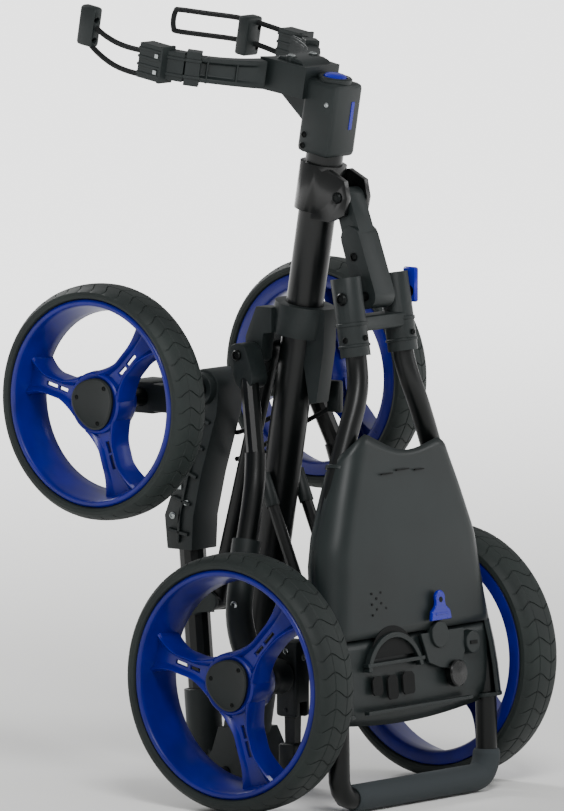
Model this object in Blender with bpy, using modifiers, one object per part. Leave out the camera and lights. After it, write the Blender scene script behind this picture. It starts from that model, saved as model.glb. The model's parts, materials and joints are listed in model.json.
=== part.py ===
"""Golf push trolley, folded: four wheels, main tube, front frame, rear legs, folding handle and console.

Metres, +Z up. X runs along the axles, -Y is the handle's side, +Y the bag's side.
Y below is measured from the rear axle; the parent empty moves the whole to the sole of the foot casting.
"""
import math

import bmesh
import bpy
from mathutils import Matrix, Vector

# ---------------------------------------------------------------- driving dimensions
GAP = 0.0003                # between pieces that touch
FOOT_Y = 0.108              # middle of the sole, from the rear axle

REAR_TYRE_D = 0.290
REAR_TYRE_W = 0.060
REAR_RIM_D = 0.256
REAR_X = 0.184              # wheel centre from the middle plane
REAR_AXLE_Z = REAR_TYRE_D / 2
FRONT_TYRE_D = 0.265
FRONT_TYRE_W = 0.053
FRONT_RIM_D = 0.2326
FRONT_X = 0.199
FRONT_AXLE_Y = 0.183
FRONT_AXLE_Z = 0.447
RIM_LIP = 0.008             # rim's front lip, in the radius
RIM_TAPER = 0.016           # rim's inner edge, in the radius
HUB_R = 0.029
CAP_R = 0.0305
CAP_T = 0.0042
SPINDLE_D = 0.010
AXLE_D = 0.020
SPOKE_T = 0.022
SPOKE_ANGLE = 77.0          # of the first spoke, from straight up on the left side
WHEEL_STEPS = 32

MAIN_D = 0.042
MAIN_WALL = 0.002
MAIN_BASE = (0.141, 0.045)  # lower end of the main tube, y and z
MAIN_TOP_U = 0.705          # upper end, along the tube
TILT = math.atan(0.17)

HEAD_U = (MAIN_TOP_U - 0.021, MAIN_TOP_U + 0.063)
HEAD_HALF = (MAIN_D / 2 + 0.004, MAIN_D / 2)
BUTTON_R = 0.0135
BUTTON_TRAVEL = 0.005
ARM_U = (HEAD_U[1] - 0.024, HEAD_U[1] + 0.012)
CRADLE_R = 0.117            # inner radius of the bag cradle
CRADLE_T = 0.018
CRADLE_V = 0.075            # nearest point of the cradle behind the tube
STRAP_D = 0.0062
STRAP_HALF = 0.0115

SLEEVE_U = (0.620, 0.674)
SLEEVE_D = MAIN_D + 0.011
CLEVIS_PIN = (-0.008, 0.673)
CLEVIS_PIN_D = 0.008
ARM_HALF_TOP = 0.0135
ARM_HALF_LOW = 0.0175
HANDLE_PIVOT = (-0.045, 0.565)
HANDLE_PIN_D = 0.010
CAM_PIVOT_X = 0.0668
CAM_PIVOT_Z = 0.556
YOKE_X = 0.0425
YOKE_D = 0.034
HANDLE_D = 0.024
HANDLE_WALL = 0.0018
GRIP_D = 0.031
GRIP_HALF = 0.110
HANDLE_HALF = 0.133
HANDLE_LOW = (-0.100, GRIP_D / 2 + GAP)

CONSOLE_TILT = -math.radians(5.1)
CONSOLE_TOP = (-0.085, 0.407)
CONSOLE_DEPTH = 0.052
CONSOLE_WALL = 0.003
LID_T = 0.004
LID_LOW = 0.215

COLLAR_U = (0.477, 0.512)
COLLAR_D = MAIN_D + 0.025
LEG_PIVOT = (0.103, 0.493)
LEG_PIN_D = 0.008
LEG_D = 0.021
LEG_WALL = 0.0016
BRACKET_X = (0.0340, 0.0615)
PRONG_D = 0.0134
PRONG_X = MAIN_D / 2 + PRONG_D / 2 + 0.0025     # clear of the main tube
PRONG_TOP = (0.088, 0.350)
PRONG_CAP_D = 0.0165

FOLD_PIVOT = (0.148, 0.015)
FOLD_PIN_D = 0.010
FOOT_HALF = 0.027
SLOT_HALF = 0.0145
LUG_HALF = 0.0140
FRONT_D = 0.031
FRONT_WALL = 0.002
FRONT_LOW = (0.198, 0.038)
FRONT_HIGH = (0.219, 0.281)
LINK_D = 0.020
LINK_LOW = (0.1814, 0.205)
LINK_SLOT = 0.0114
POST_HALF = 0.0225

BRAKE_X = -0.090
BRAKE_PIVOT_Z = 0.106
PRIMITIVE_SIDES = 20

# ---------------------------------------------------------------- scene
for old in list(bpy.data.objects):
    bpy.data.objects.remove(old, do_unlink=True)
PARTS = bpy.data.collections.new("golf_push_trolley")
CUTTERS = bpy.data.collections.new("cutters")
bpy.context.scene.collection.children.link(PARTS)
bpy.context.scene.collection.children.link(CUTTERS)


def new_empty(name, y, z, x=0.0):
    """An empty on a joint's axis; y is measured from the rear axle."""
    empty = bpy.data.objects.new(name, None)
    empty.location = (x, y - FOOT_Y, z)
    PARTS.objects.link(empty)
    return empty


AXES = {
    "frame": new_empty("frame_axis", FOOT_Y, 0.0),
    "front_frame": new_empty("fold_axis", *FOLD_PIVOT),
    "slider": new_empty("slider_axis", MAIN_BASE[0], MAIN_BASE[1]),
    "rear_legs": new_empty("leg_axis", *LEG_PIVOT),
    "drag_link": new_empty("link_axis", *LEG_PIVOT),
    "handle_arm": new_empty("handle_arm_axis", *CLEVIS_PIN),
    "handle": new_empty("handle_axis", *HANDLE_PIVOT),
    "head_button": new_empty("button_axis", 0.02, 0.79),
    "cam_lever": new_empty("cam_axis", -0.0455, CAM_PIVOT_Z, CAM_PIVOT_X),
    "console_lid": new_empty("lid_axis", *CONSOLE_TOP),
    "console_latch": new_empty("latch_axis", -0.105, 0.215),
    "brake_pedal": new_empty("pedal_axis", 0.0, BRAKE_PIVOT_Z, BRAKE_X),
    "rear_wheel_left": new_empty("rear_left_axis", 0.0, REAR_AXLE_Z, -REAR_X),
    "rear_wheel_right": new_empty("rear_right_axis", 0.0, REAR_AXLE_Z, REAR_X),
    "front_wheel_left": new_empty("front_left_axis", FRONT_AXLE_Y, FRONT_AXLE_Z, -FRONT_X),
    "front_wheel_right": new_empty("front_right_axis", FRONT_AXLE_Y, FRONT_AXLE_Z, FRONT_X),
}

FINISHES = {
    "blue": ((0.004, 0.010, 0.30), 0.30, 0.0),
    "black_tube": ((0.012, 0.014, 0.014), 0.38, 0.2),
    "grey_plastic": ((0.030, 0.040, 0.040), 0.55, 0.0),
    "casting": ((0.036, 0.044, 0.044), 0.50, 0.1),
    "rubber": ((0.022, 0.030, 0.030), 0.85, 0.0),
    "foam": ((0.036, 0.042, 0.046), 0.95, 0.0),
    "steel": ((0.45, 0.45, 0.46), 0.30, 1.0),
    "elastic": ((0.020, 0.022, 0.024), 0.80, 0.0),
}


def finish(name):
    """The named Principled material, made once."""
    if name in bpy.data.materials:
        return bpy.data.materials[name]
    colour, roughness, metallic = FINISHES[name]
    material = bpy.data.materials.new(name)
    material.use_nodes = True
    shader = material.node_tree.nodes["Principled BSDF"]
    shader.inputs["Base Color"].default_value = (*colour, 1.0)
    shader.inputs["Roughness"].default_value = roughness
    shader.inputs["Metallic"].default_value = metallic
    return material


# ---------------------------------------------------------------- modelling helpers
def tube_frame(u=0.0, v=0.0, x=0.0):
    """Matrix whose local Z runs up the main tube, from its lower end."""
    return Matrix.Translation((0.0, *MAIN_BASE)) @ Matrix.Rotation(TILT, 4, "X") @ Matrix.Translation((x, v, u))


def console_frame():
    """Matrix whose XZ plane is the console's front panel, with the origin at its top edge."""
    return Matrix.Translation((0.0, *CONSOLE_TOP)) @ Matrix.Rotation(CONSOLE_TILT, 4, "X")


def add(name, mesh, material, body, matrix=None, sharp=35.0):
    """Puts a mesh in the model as a named piece on a body's axis; a piece without a body is a cutter."""
    obj = bpy.data.objects.new(name, mesh)
    shift = Matrix.Translation((0.0, -FOOT_Y, 0.0)) @ (matrix or Matrix.Identity(4))
    if body is None:
        CUTTERS.objects.link(obj)
        obj.hide_render = True
        obj.display_type = "WIRE"
        obj.matrix_world = shift
        return obj
    PARTS.objects.link(obj)
    axis = AXES[body]
    obj.parent = axis
    obj.matrix_parent_inverse = Matrix.Translation(axis.location).inverted()
    obj.matrix_basis = shift
    mesh.materials.append(finish(material))
    mesh.shade_smooth()
    mesh.set_sharp_from_angle(angle=math.radians(sharp))
    return obj


def rod_mesh(a, b, diameter, sides=PRIMITIVE_SIDES, top=None):
    """Cylinder or cone between two points."""
    start, end = Vector(a), Vector(b)
    bm = bmesh.new()
    turn = (end - start).to_track_quat("Z", "Y").to_matrix().to_4x4()
    place = Matrix.Translation((start + end) / 2) @ turn
    bmesh.ops.create_cone(
        bm, cap_ends=True, segments=sides, radius1=diameter / 2,
        radius2=(top or diameter) / 2, depth=(end - start).length, matrix=place,
    )
    mesh = bpy.data.meshes.new("rod")
    bm.to_mesh(mesh)
    bm.free()
    return mesh


def rod(name, a, b, diameter, material, body, matrix=None, sides=PRIMITIVE_SIDES, top=None):
    """A round bar."""
    return add(name, rod_mesh(a, b, diameter, sides, top), material, body, matrix)


def block(name, low, high, material, body, matrix=None, round_edge=0.0):
    """A box between two corners with rounded edges."""
    bm = bmesh.new()
    size = Vector(high) - Vector(low)
    middle = (Vector(high) + Vector(low)) / 2
    place = Matrix.Translation(middle) @ Matrix.Diagonal((*size, 1.0))
    bmesh.ops.create_cube(bm, size=1.0, matrix=place)
    mesh = bpy.data.meshes.new(name)
    bm.to_mesh(mesh)
    bm.free()
    obj = add(name, mesh, material, body, matrix)
    if round_edge:
        bevel = obj.modifiers.new("round", "BEVEL")
        bevel.width = round_edge
        bevel.segments = 2
    return obj


def curve_mesh(curve):
    """A curve's evaluated mesh, caps welded, with the curve removed."""
    temporary = bpy.data.objects.new("temporary", curve)
    CUTTERS.objects.link(temporary)
    graph = bpy.context.evaluated_depsgraph_get()
    mesh = bpy.data.meshes.new_from_object(temporary.evaluated_get(graph))
    bpy.data.objects.remove(temporary)
    bm = bmesh.new()
    bm.from_mesh(mesh)
    bmesh.ops.remove_doubles(bm, verts=bm.verts, dist=1e-5)
    bmesh.ops.recalc_face_normals(bm, faces=bm.faces)
    bm.to_mesh(mesh)
    bm.free()
    return mesh


def flat(name, outline, thickness, material, body, matrix, round_edge=0.0):
    """A flat outline extruded evenly about its own plane."""
    curve = bpy.data.curves.new(name, "CURVE")
    curve.dimensions = "2D"
    curve.fill_mode = "BOTH"
    curve.extrude = thickness / 2
    spline = curve.splines.new("POLY")
    spline.points.add(len(outline) - 1)
    for point, (a, b) in zip(spline.points, outline):
        point.co = (a, b, 0.0, 1.0)
    spline.use_cyclic_u = True
    obj = add(name, curve_mesh(curve), material, body, matrix)
    if round_edge:
        bevel = obj.modifiers.new("round", "BEVEL")
        bevel.width = round_edge
        bevel.segments = 2
        bevel.limit_method = "ANGLE"
    return obj


ACROSS = Matrix(((0, 0, 1, 0), (1, 0, 0, 0), (0, 1, 0, 0), (0, 0, 0, 1)))
FACING = Matrix.Rotation(math.radians(90), 4, "X")


def side_plate(name, outline, x_low, x_high, material, body, round_edge=0.0):
    """A plate across X: its outline is in y and z."""
    place = Matrix.Translation(((x_low + x_high) / 2, 0.0, 0.0)) @ ACROSS
    return flat(name, outline, x_high - x_low, material, body, place, round_edge)


def front_plate(name, outline, y_low, y_high, material, body, matrix, round_edge=0.0):
    """A plate across Y in a local frame: its outline is in x and z."""
    place = matrix @ Matrix.Translation((0.0, (y_low + y_high) / 2, 0.0)) @ FACING
    return flat(name, outline, y_high - y_low, material, body, place, round_edge)


def rounded(points, radius, steps=4, tight=None):
    """A polyline with its inner corners turned into arcs; tight is the radius where it turns by over 50 degrees."""
    path = [Vector(points[0])]
    for before, corner, after in zip(points, points[1:], points[2:]):
        here = Vector(corner)
        into = (here - Vector(before)).normalized()
        out = (Vector(after) - here).normalized()
        turn = into.angle(out)
        room = min((here - Vector(before)).length, (Vector(after) - here).length) * 0.48
        bend = tight if tight and turn > math.radians(50) else radius
        reach = min(bend * math.tan(turn / 2), room)
        for step in range(steps + 1):
            t = step / steps
            a = here - into * reach * (1 - t)
            b = here + out * reach * t
            path.append(a.lerp(b, t))
    path.append(Vector(points[-1]))
    return path


def swept_curve(path, diameter, capped=True, resolution=3, cyclic=False):
    """Curve data that sweeps a round section along a path."""
    curve = bpy.data.curves.new("sweep", "CURVE")
    curve.dimensions = "3D"
    curve.bevel_depth = diameter / 2
    curve.bevel_resolution = resolution
    curve.use_fill_caps = capped
    spline = curve.splines.new("POLY")
    spline.points.add(len(path) - 1)
    for point, co in zip(spline.points, path):
        point.co = (*co, 1.0)
    spline.use_cyclic_u = cyclic
    return curve


def swept(name, path, diameter, material, body, matrix=None, resolution=3):
    """A solid round bar along a path."""
    return add(name, curve_mesh(swept_curve(path, diameter, True, resolution)), material, body, matrix)


def pipe(name, path, diameter, wall, material, body, matrix=None, resolution=4):
    """A hollow tube along a path, open at both ends."""
    mesh = curve_mesh(swept_curve(path, diameter, False, resolution))
    obj = add(name, mesh, material, body, matrix)
    shell = obj.modifiers.new("wall", "SOLIDIFY")
    shell.thickness = wall
    shell.offset = -1.0
    return obj


def boolean(obj, other, operation):
    """Adds an exact Boolean with another object."""
    modifier = obj.modifiers.new(operation.lower(), "BOOLEAN")
    modifier.operation = operation
    modifier.solver = "EXACT"
    modifier.object = other


def bore(obj, a, b, diameter, matrix=None, sides=PRIMITIVE_SIDES):
    """A round hole from one point to another."""
    boolean(obj, rod(obj.name + "_bore", a, b, diameter, None, None, matrix, sides), "DIFFERENCE")


def pocket(obj, low, high, matrix=None):
    """A box-shaped cut."""
    boolean(obj, block(obj.name + "_pocket", low, high, None, None, matrix), "DIFFERENCE")


def grow(obj, other):
    """Joins another shape to a piece."""
    boolean(obj, other, "UNION")


def across(y, z, x_low, x_high):
    """The two ends of a line along X."""
    return (x_low, y, z), (x_high, y, z)


def disc(centre, radius, start, stop, steps):
    """Points on an arc, angles in degrees."""
    angles = [math.radians(start + (stop - start) * i / steps) for i in range(steps + 1)]
    return [(centre[0] + radius * math.cos(a), centre[1] + radius * math.sin(a)) for a in angles]


def capsule(a, b, radius_a, radius_b, steps=8):
    """Outline of a bar with round ends about two centres."""
    angle = math.degrees(math.atan2(b[1] - a[1], b[0] - a[0]))
    return disc(a, radius_a, angle + 90, angle + 270, steps) + disc(b, radius_b, angle - 90, angle + 90, steps)


# ---------------------------------------------------------------- wheels
def turned(name, profile, material, body, matrix, steps):
    """A closed profile of radius and height turned about local Z."""
    mesh = bpy.data.meshes.new(name)
    bm = bmesh.new()
    ring = [bm.verts.new((r, 0.0, h)) for r, h in profile]
    for first, second in zip(ring, ring[1:] + ring[:1]):
        bm.edges.new((first, second))
    bm.to_mesh(mesh)
    bm.free()
    obj = add(name, mesh, material, body, matrix)
    screw = obj.modifiers.new("turn", "SCREW")
    screw.steps = steps
    screw.render_steps = steps
    screw.use_merge_vertices = True
    screw.merge_threshold = 1e-5
    return obj


def make_wheel(name, side, x, y, z, tyre_d, width, rim_d):
    """Tyre, rim with three spokes, and hub cap; local Z points away from the middle plane."""
    place = Matrix.Translation((side * x, y, z)) @ Matrix.Rotation(side * math.radians(90), 4, "Y")
    tyre_r, rim_r, half = tyre_d / 2, rim_d / 2, width / 2
    body = name
    tyre = [
        (tyre_r - 0.008, half), (tyre_r - 0.002, half - 0.006), (tyre_r, half - 0.014),
        (tyre_r, 0.014 - half), (tyre_r - 0.002, 0.006 - half), (tyre_r - 0.008, -half),
        (rim_r + GAP, -half), (rim_r + GAP, half),
    ]
    turned(name + "_tyre", tyre, "rubber", body, place, WHEEL_STEPS)
    seat = half - 0.003
    barrel = [
        (rim_r, seat), (rim_r, -seat), (rim_r - RIM_TAPER, -seat), (rim_r - RIM_TAPER + 0.002, -seat * 0.2),
        (rim_r - RIM_LIP, seat - 0.003), (rim_r - RIM_LIP + 0.002, seat),
    ]
    rim = turned(name + "_rim", barrel, "blue", body, place, WHEEL_STEPS)
    face = half - 0.006 - CAP_T - GAP
    reach = rim_r - RIM_LIP + 0.003
    for arm in range(3):
        angle = math.radians(SPOKE_ANGLE + 120 * arm)
        turn = Matrix.Rotation(angle, 4, "Z") @ Matrix.Translation((0.0, 0.0, face - 0.004 - SPOKE_T / 2))
        web = [(0.012, -0.018), (0.036, -0.0165), (rim_r * 0.62, -0.0145), (reach, -0.022),
               (reach, 0.022), (rim_r * 0.62, 0.0145), (0.036, 0.0165), (0.012, 0.018)]
        grow(rim, flat(name + "_spoke", web, SPOKE_T, None, None, place @ turn))
    hub_low = -half + 0.002
    grow(rim, rod(name + "_hub", (0, 0, hub_low), (0, 0, face), 2 * HUB_R, None, None, place))
    bore(rim, (0, 0, hub_low - 0.01), (0, 0, face + 0.01), SPINDLE_D + 2 * GAP, place, 16)
    cap = (0, 0, face + GAP)
    rod(name + "_hub_cap", cap, (0, 0, face + GAP + CAP_T), 2 * CAP_R, "grey_plastic", body, place, 24)


def make_axle(name, y, z, x_wheel, width, body):
    """Axle tube with a thinner spindle through each hub."""
    inner = x_wheel - width / 2 + 0.002 - 2 * GAP
    tip = x_wheel + width / 2 - 0.006 - CAP_T - 0.001
    axle = rod(name, *across(y, z, -inner, inner), AXLE_D, "black_tube", body)
    grow(axle, rod(name + "_spindle", *across(y, z, -tip, tip), SPINDLE_D, None, None, None, 16))


for side, word in ((-1, "left"), (1, "right")):
    make_wheel("rear_wheel_" + word, side, REAR_X, 0.0, REAR_AXLE_Z, REAR_TYRE_D, REAR_TYRE_W, REAR_RIM_D)
    make_wheel("front_wheel_" + word, side, FRONT_X, FRONT_AXLE_Y, FRONT_AXLE_Z,
               FRONT_TYRE_D, FRONT_TYRE_W, FRONT_RIM_D)
make_axle("rear_axle", 0.0, REAR_AXLE_Z, REAR_X, REAR_TYRE_W, "rear_legs")
make_axle("front_axle", FRONT_AXLE_Y, FRONT_AXLE_Z, FRONT_X, FRONT_TYRE_W, "front_frame")

# ---------------------------------------------------------------- main tube, head and cradle
TUBE_BORE = MAIN_D + 2 * GAP
along = tube_frame()
pipe("main_tube", [(0, 0, 0), (0, 0, MAIN_TOP_U)], MAIN_D, MAIN_WALL, "black_tube", "frame", along, 5)

head = block("head_housing", (-HEAD_HALF[0], -HEAD_HALF[1] - 0.002, HEAD_U[0]),
             (HEAD_HALF[0], HEAD_HALF[1] + 0.002, HEAD_U[1]), "grey_plastic", "frame", along, 0.006)
bore(head, (0, 0, HEAD_U[0] - 0.01), (0, 0, MAIN_TOP_U + GAP), TUBE_BORE, along, 32)
button_base = HEAD_U[1] - 0.012
bore(head, (0, 0, button_base), (0, 0, HEAD_U[1] + 0.01), 2 * BUTTON_R + 0.001, along)
rod("head_button", (0, 0, button_base + BUTTON_TRAVEL + GAP), (0, 0, HEAD_U[1] + 0.009), 2 * BUTTON_R,
    "blue", "head_button", along, 24, 2 * BUTTON_R - 0.003)

u_low, u_high = ARM_U
saddle_back = HEAD_HALF[1] - 0.002
centre_v = CRADLE_V + CRADLE_R
arc_low = disc((0.0, centre_v), CRADLE_R, -108, -72, 6)
saddle_line = [(0.030, saddle_back), (-0.030, saddle_back)] + arc_low
grow(head, flat("cradle_saddle", saddle_line, u_high - u_low, None, None,
                along @ Matrix.Translation((0, 0, (u_low + u_high) / 2))))
for side, word in ((-1, "left"), (1, "right")):
    first, last = (-71.7, -12) if side > 0 else (-108.3, -168)
    inner = disc((0.0, centre_v), CRADLE_R, first, last, 8)
    outer = disc((0.0, centre_v), CRADLE_R + CRADLE_T, last, first, 8)
    arm = flat("cradle_arm_" + word, inner + outer, u_high - u_low - 0.004, "grey_plastic", "frame",
               along @ Matrix.Translation((0, 0, (u_low + u_high) / 2)))
    tip = (side * (CRADLE_R + CRADLE_T / 2) * math.cos(math.radians(12)),
           centre_v - (CRADLE_R + CRADLE_T / 2) * math.sin(math.radians(12)))
    grow(arm, block("tip_block_" + word, (tip[0] - 0.012, tip[1] - 0.024, u_low - 0.003),
                    (tip[0] + 0.012, tip[1] + 0.010, u_high + 0.003), None, None, along, 0.003))
    strap_v = tip[1] + 0.010 + GAP
    length = 0.092 if side < 0 else 0.150
    middle = (u_low + u_high) / 2
    end_x = tip[0] - side * 0.012
    end_u = middle + (0.016 if side < 0 else 0.006)
    route = [(tip[0], strap_v, middle - STRAP_HALF), (tip[0], strap_v + 0.03, middle - STRAP_HALF),
             (end_x, strap_v + length, end_u - STRAP_HALF),
             (end_x, strap_v + length, end_u + STRAP_HALF),
             (tip[0], strap_v + 0.03, middle + STRAP_HALF), (tip[0], strap_v, middle + STRAP_HALF)]
    path = rounded(route, 0.010)
    swept("bag_strap_" + word, path, STRAP_D, "elastic", "frame", along, 2)
    channel = add("strap_channel_" + word, curve_mesh(swept_curve(path, STRAP_D + 2 * GAP, True, 2)),
                  None, None, along)
    if side < 0:
        toggle = block("strap_toggle", (end_x - 0.007, strap_v + length - 0.012, end_u - 0.023),
                       (end_x + 0.007, strap_v + length + 0.012, end_u + 0.023), "grey_plastic",
                       "frame", along, 0.004)
    else:
        toggle = block("strap_slider", (end_x - 0.010, strap_v + 0.034, middle - 0.021),
                       (end_x + 0.016, strap_v + 0.050, middle + 0.024), "grey_plastic",
                       "frame", along, 0.003)
    boolean(toggle, channel, "DIFFERENCE")

# ---------------------------------------------------------------- clevis and handle arm
sleeve = rod("handle_clevis", (0, 0, SLEEVE_U[0]), (0, 0, SLEEVE_U[1]), SLEEVE_D, "casting", "frame", along)
cheek = [(0.020, 0.700), (0.004, 0.703), (-0.018, 0.692), (-0.022, 0.673), (-0.018, 0.654), (0.004, 0.645),
         (0.030, 0.648)]
cheek_low, cheek_high = ARM_HALF_TOP + 0.001, 0.0215
for side in (-1, 1):
    low, high = sorted((side * cheek_low, side * cheek_high))
    grow(sleeve, side_plate("clevis_cheek", cheek, low, high, None, None))
bore(sleeve, (0, 0, SLEEVE_U[0] - 0.01), (0, 0, SLEEVE_U[1] + 0.01), TUBE_BORE, along, 32)
bore(sleeve, *across(*CLEVIS_PIN, -0.04, 0.04), CLEVIS_PIN_D + 2 * GAP, None, 16)
rod("clevis_pin", *across(*CLEVIS_PIN, -0.024, 0.024), CLEVIS_PIN_D, "steel", "frame", None, 16)

arm = side_plate("handle_arm", capsule(CLEVIS_PIN, HANDLE_PIVOT, 0.0112, 0.0140), -ARM_HALF_TOP, ARM_HALF_TOP,
                 "casting", "handle_arm")
lower_start = (-0.0232, 0.6286)
grow(arm, side_plate("arm_lower", capsule(lower_start, HANDLE_PIVOT, 0.0132, 0.0145), -ARM_HALF_LOW,
                     ARM_HALF_LOW, None, None))
bore(arm, *across(*CLEVIS_PIN, -0.04, 0.04), CLEVIS_PIN_D + 2 * GAP, None, 16)
bore(arm, *across(*HANDLE_PIVOT, -0.04, 0.04), HANDLE_PIN_D + 2 * GAP, None, 16)
rod("handle_pin", *across(*HANDLE_PIVOT, -YOKE_X - 0.019, YOKE_X + 0.0165), HANDLE_PIN_D, "steel", "handle",
    None, 16)

# ---------------------------------------------------------------- handle
SOCKET_TOP = (-0.0365, 0.587)
SOCKET_LOW = (-0.0515, 0.500)
yoke = block("handle_yoke", (-YOKE_X, -0.060, 0.528), (YOKE_X, -0.032, 0.5445), "casting", "handle", None, 0.003)
for side in (-1, 1):
    x = side * YOKE_X
    grow(yoke, rod("yoke_socket", (x, *SOCKET_LOW), (x, *SOCKET_TOP), YOKE_D, None, None))
for side in (-1, 1):
    x = side * YOKE_X
    bore(yoke, (x, -0.0535, 0.4884), (x, -0.0440, 0.5435), HANDLE_D + 2 * GAP)
bore(yoke, *across(*HANDLE_PIVOT, -0.08, 0.08), HANDLE_PIN_D + 2 * GAP, None, 16)

leg_points = [(YOKE_X, -0.0443, 0.5415), (YOKE_X, -0.0530, 0.492), (0.050, -0.060, 0.462), (0.067, -0.061, 0.425),
              (0.100, -0.062, 0.345), (0.119, -0.064, 0.290), (0.128, -0.084, 0.200),
              (HANDLE_HALF, -0.099, 0.130), (HANDLE_HALF, *HANDLE_LOW)]
whole = leg_points + [(-x, y, z) for x, y, z in reversed(leg_points)]
corner = HANDLE_HALF - GRIP_HALF - 0.001
pipe("handle_tube", rounded(whole, 0.080, 2, corner), HANDLE_D, HANDLE_WALL, "black_tube", "handle", None, 2)
pipe("foam_grip", [(-GRIP_HALF, *HANDLE_LOW), (GRIP_HALF, *HANDLE_LOW)], GRIP_D,
     (GRIP_D - HANDLE_D) / 2 - 2 * GAP, "foam", "handle", None, 6)

lever_low = CAM_PIVOT_Z - 0.003
block("cam_lever", (0.0604, -0.055, lever_low), (0.0668, -0.036, 0.592), "blue", "cam_lever", None, 0.002)

# ---------------------------------------------------------------- console
panel = console_frame()
tray_outline = [(-0.056, -0.008), (0.056, -0.008), (0.094, -0.108), (0.108, -0.200), (0.112, -0.290),
                (0.098, -0.304), (-0.098, -0.304), (-0.112, -0.290), (-0.108, -0.200), (-0.094, -0.108)]
inner_outline = [(x * 0.955, -0.012 + (z + 0.008) * 0.955) for x, z in tray_outline]
tray_low = LID_T + GAP
tray = front_plate("console_tray", tray_outline, tray_low, CONSOLE_DEPTH, "grey_plastic", "handle", panel, 0.004)
boolean(tray, front_plate("tray_hollow", inner_outline, -0.01, CONSOLE_DEPTH - CONSOLE_WALL, None, None, panel),
        "DIFFERENCE")
lid_outline = [(-0.076, 0.0), (0.034, 0.0), (0.066, -0.020), (0.100, -0.108), (0.112, -LID_LOW + 0.006),
               (0.106, -LID_LOW), (-0.106, -LID_LOW), (-0.112, -LID_LOW + 0.006), (-0.100, -0.108)]
front_plate("console_lid", lid_outline, -0.002, LID_T, "grey_plastic", "console_lid", panel, 0.002)
low_outline = [(-0.106, -LID_LOW - 0.001), (0.112, -LID_LOW - 0.001), (0.1145, -0.290), (0.098, -0.306),
               (0.020, -0.318), (-0.060, -0.312), (-0.098, -0.300), (-0.112, -0.280)]
grow(tray, front_plate("console_fascia", low_outline, 0.0, tray_low + CONSOLE_WALL, None, None, panel))
boolean(tray, front_plate("cup_window", [(-0.084, -0.225), (-0.012, -0.225), (-0.012, -0.285), (-0.084, -0.285)],
                          -0.02, CONSOLE_DEPTH - 0.006, None, None, panel), "DIFFERENCE")
front_plate("console_latch", [(0.019, -0.178), (0.049, -0.178), (0.052, -0.206), (0.016, -0.206)],
            -0.0065, -0.002 - GAP, "blue", "console_latch", panel, 0.001)

# ---------------------------------------------------------------- slider on the main tube
collar = rod("slider_collar", (0, 0, COLLAR_U[0]), (0, 0, COLLAR_U[1]), COLLAR_D, "casting", "slider", along, 32)
ear = [(0.076, 0.546), (0.098, 0.546), (0.113, 0.512)] + disc(LEG_PIVOT, 0.012, 30, -150, 8) + [(0.088, 0.516),
                                                                                              (0.076, 0.518)]
for side in (-1, 1):
    low, high = sorted((side * 0.0125, side * 0.0337))
    grow(collar, side_plate("collar_ear", ear, low, high, None, None))
web = [(0.018, 0.545), (0.050, 0.545), (0.055, 0.520), (0.046, 0.470), (0.040, 0.438), (0.030, 0.440), (0.020, 0.500)]
grow(collar, side_plate("collar_web", web, -0.011, 0.011, None, None))
bore(collar, (0, 0, COLLAR_U[0] - 0.12), (0, 0, COLLAR_U[1] + 0.04), TUBE_BORE + 0.0006, along, 32)
bore(collar, *across(*LEG_PIVOT, -0.05, 0.05), LEG_PIN_D + 2 * GAP, None, 16)
rod("leg_pin", *across(*LEG_PIVOT, -0.064, 0.064), LEG_PIN_D, "steel", "slider", None, 16)

link = side_plate("drag_link", capsule(LEG_PIVOT, (0.1075, 0.4775), 0.0115, 0.0095), -0.0112, 0.0112,
                  "black_tube", "drag_link")
grow(link, rod("link_bar", (0, 0.1072, 0.4785), (0, *LINK_LOW), LINK_D, None, None))
grow(link, side_plate("link_eye", disc(LINK_LOW, 0.010, 0, 345, 15), -0.0100, 0.0100, None, None))
bore(link, *across(*LEG_PIVOT, -0.04, 0.04), LEG_PIN_D + 2 * GAP, None, 16)

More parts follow.
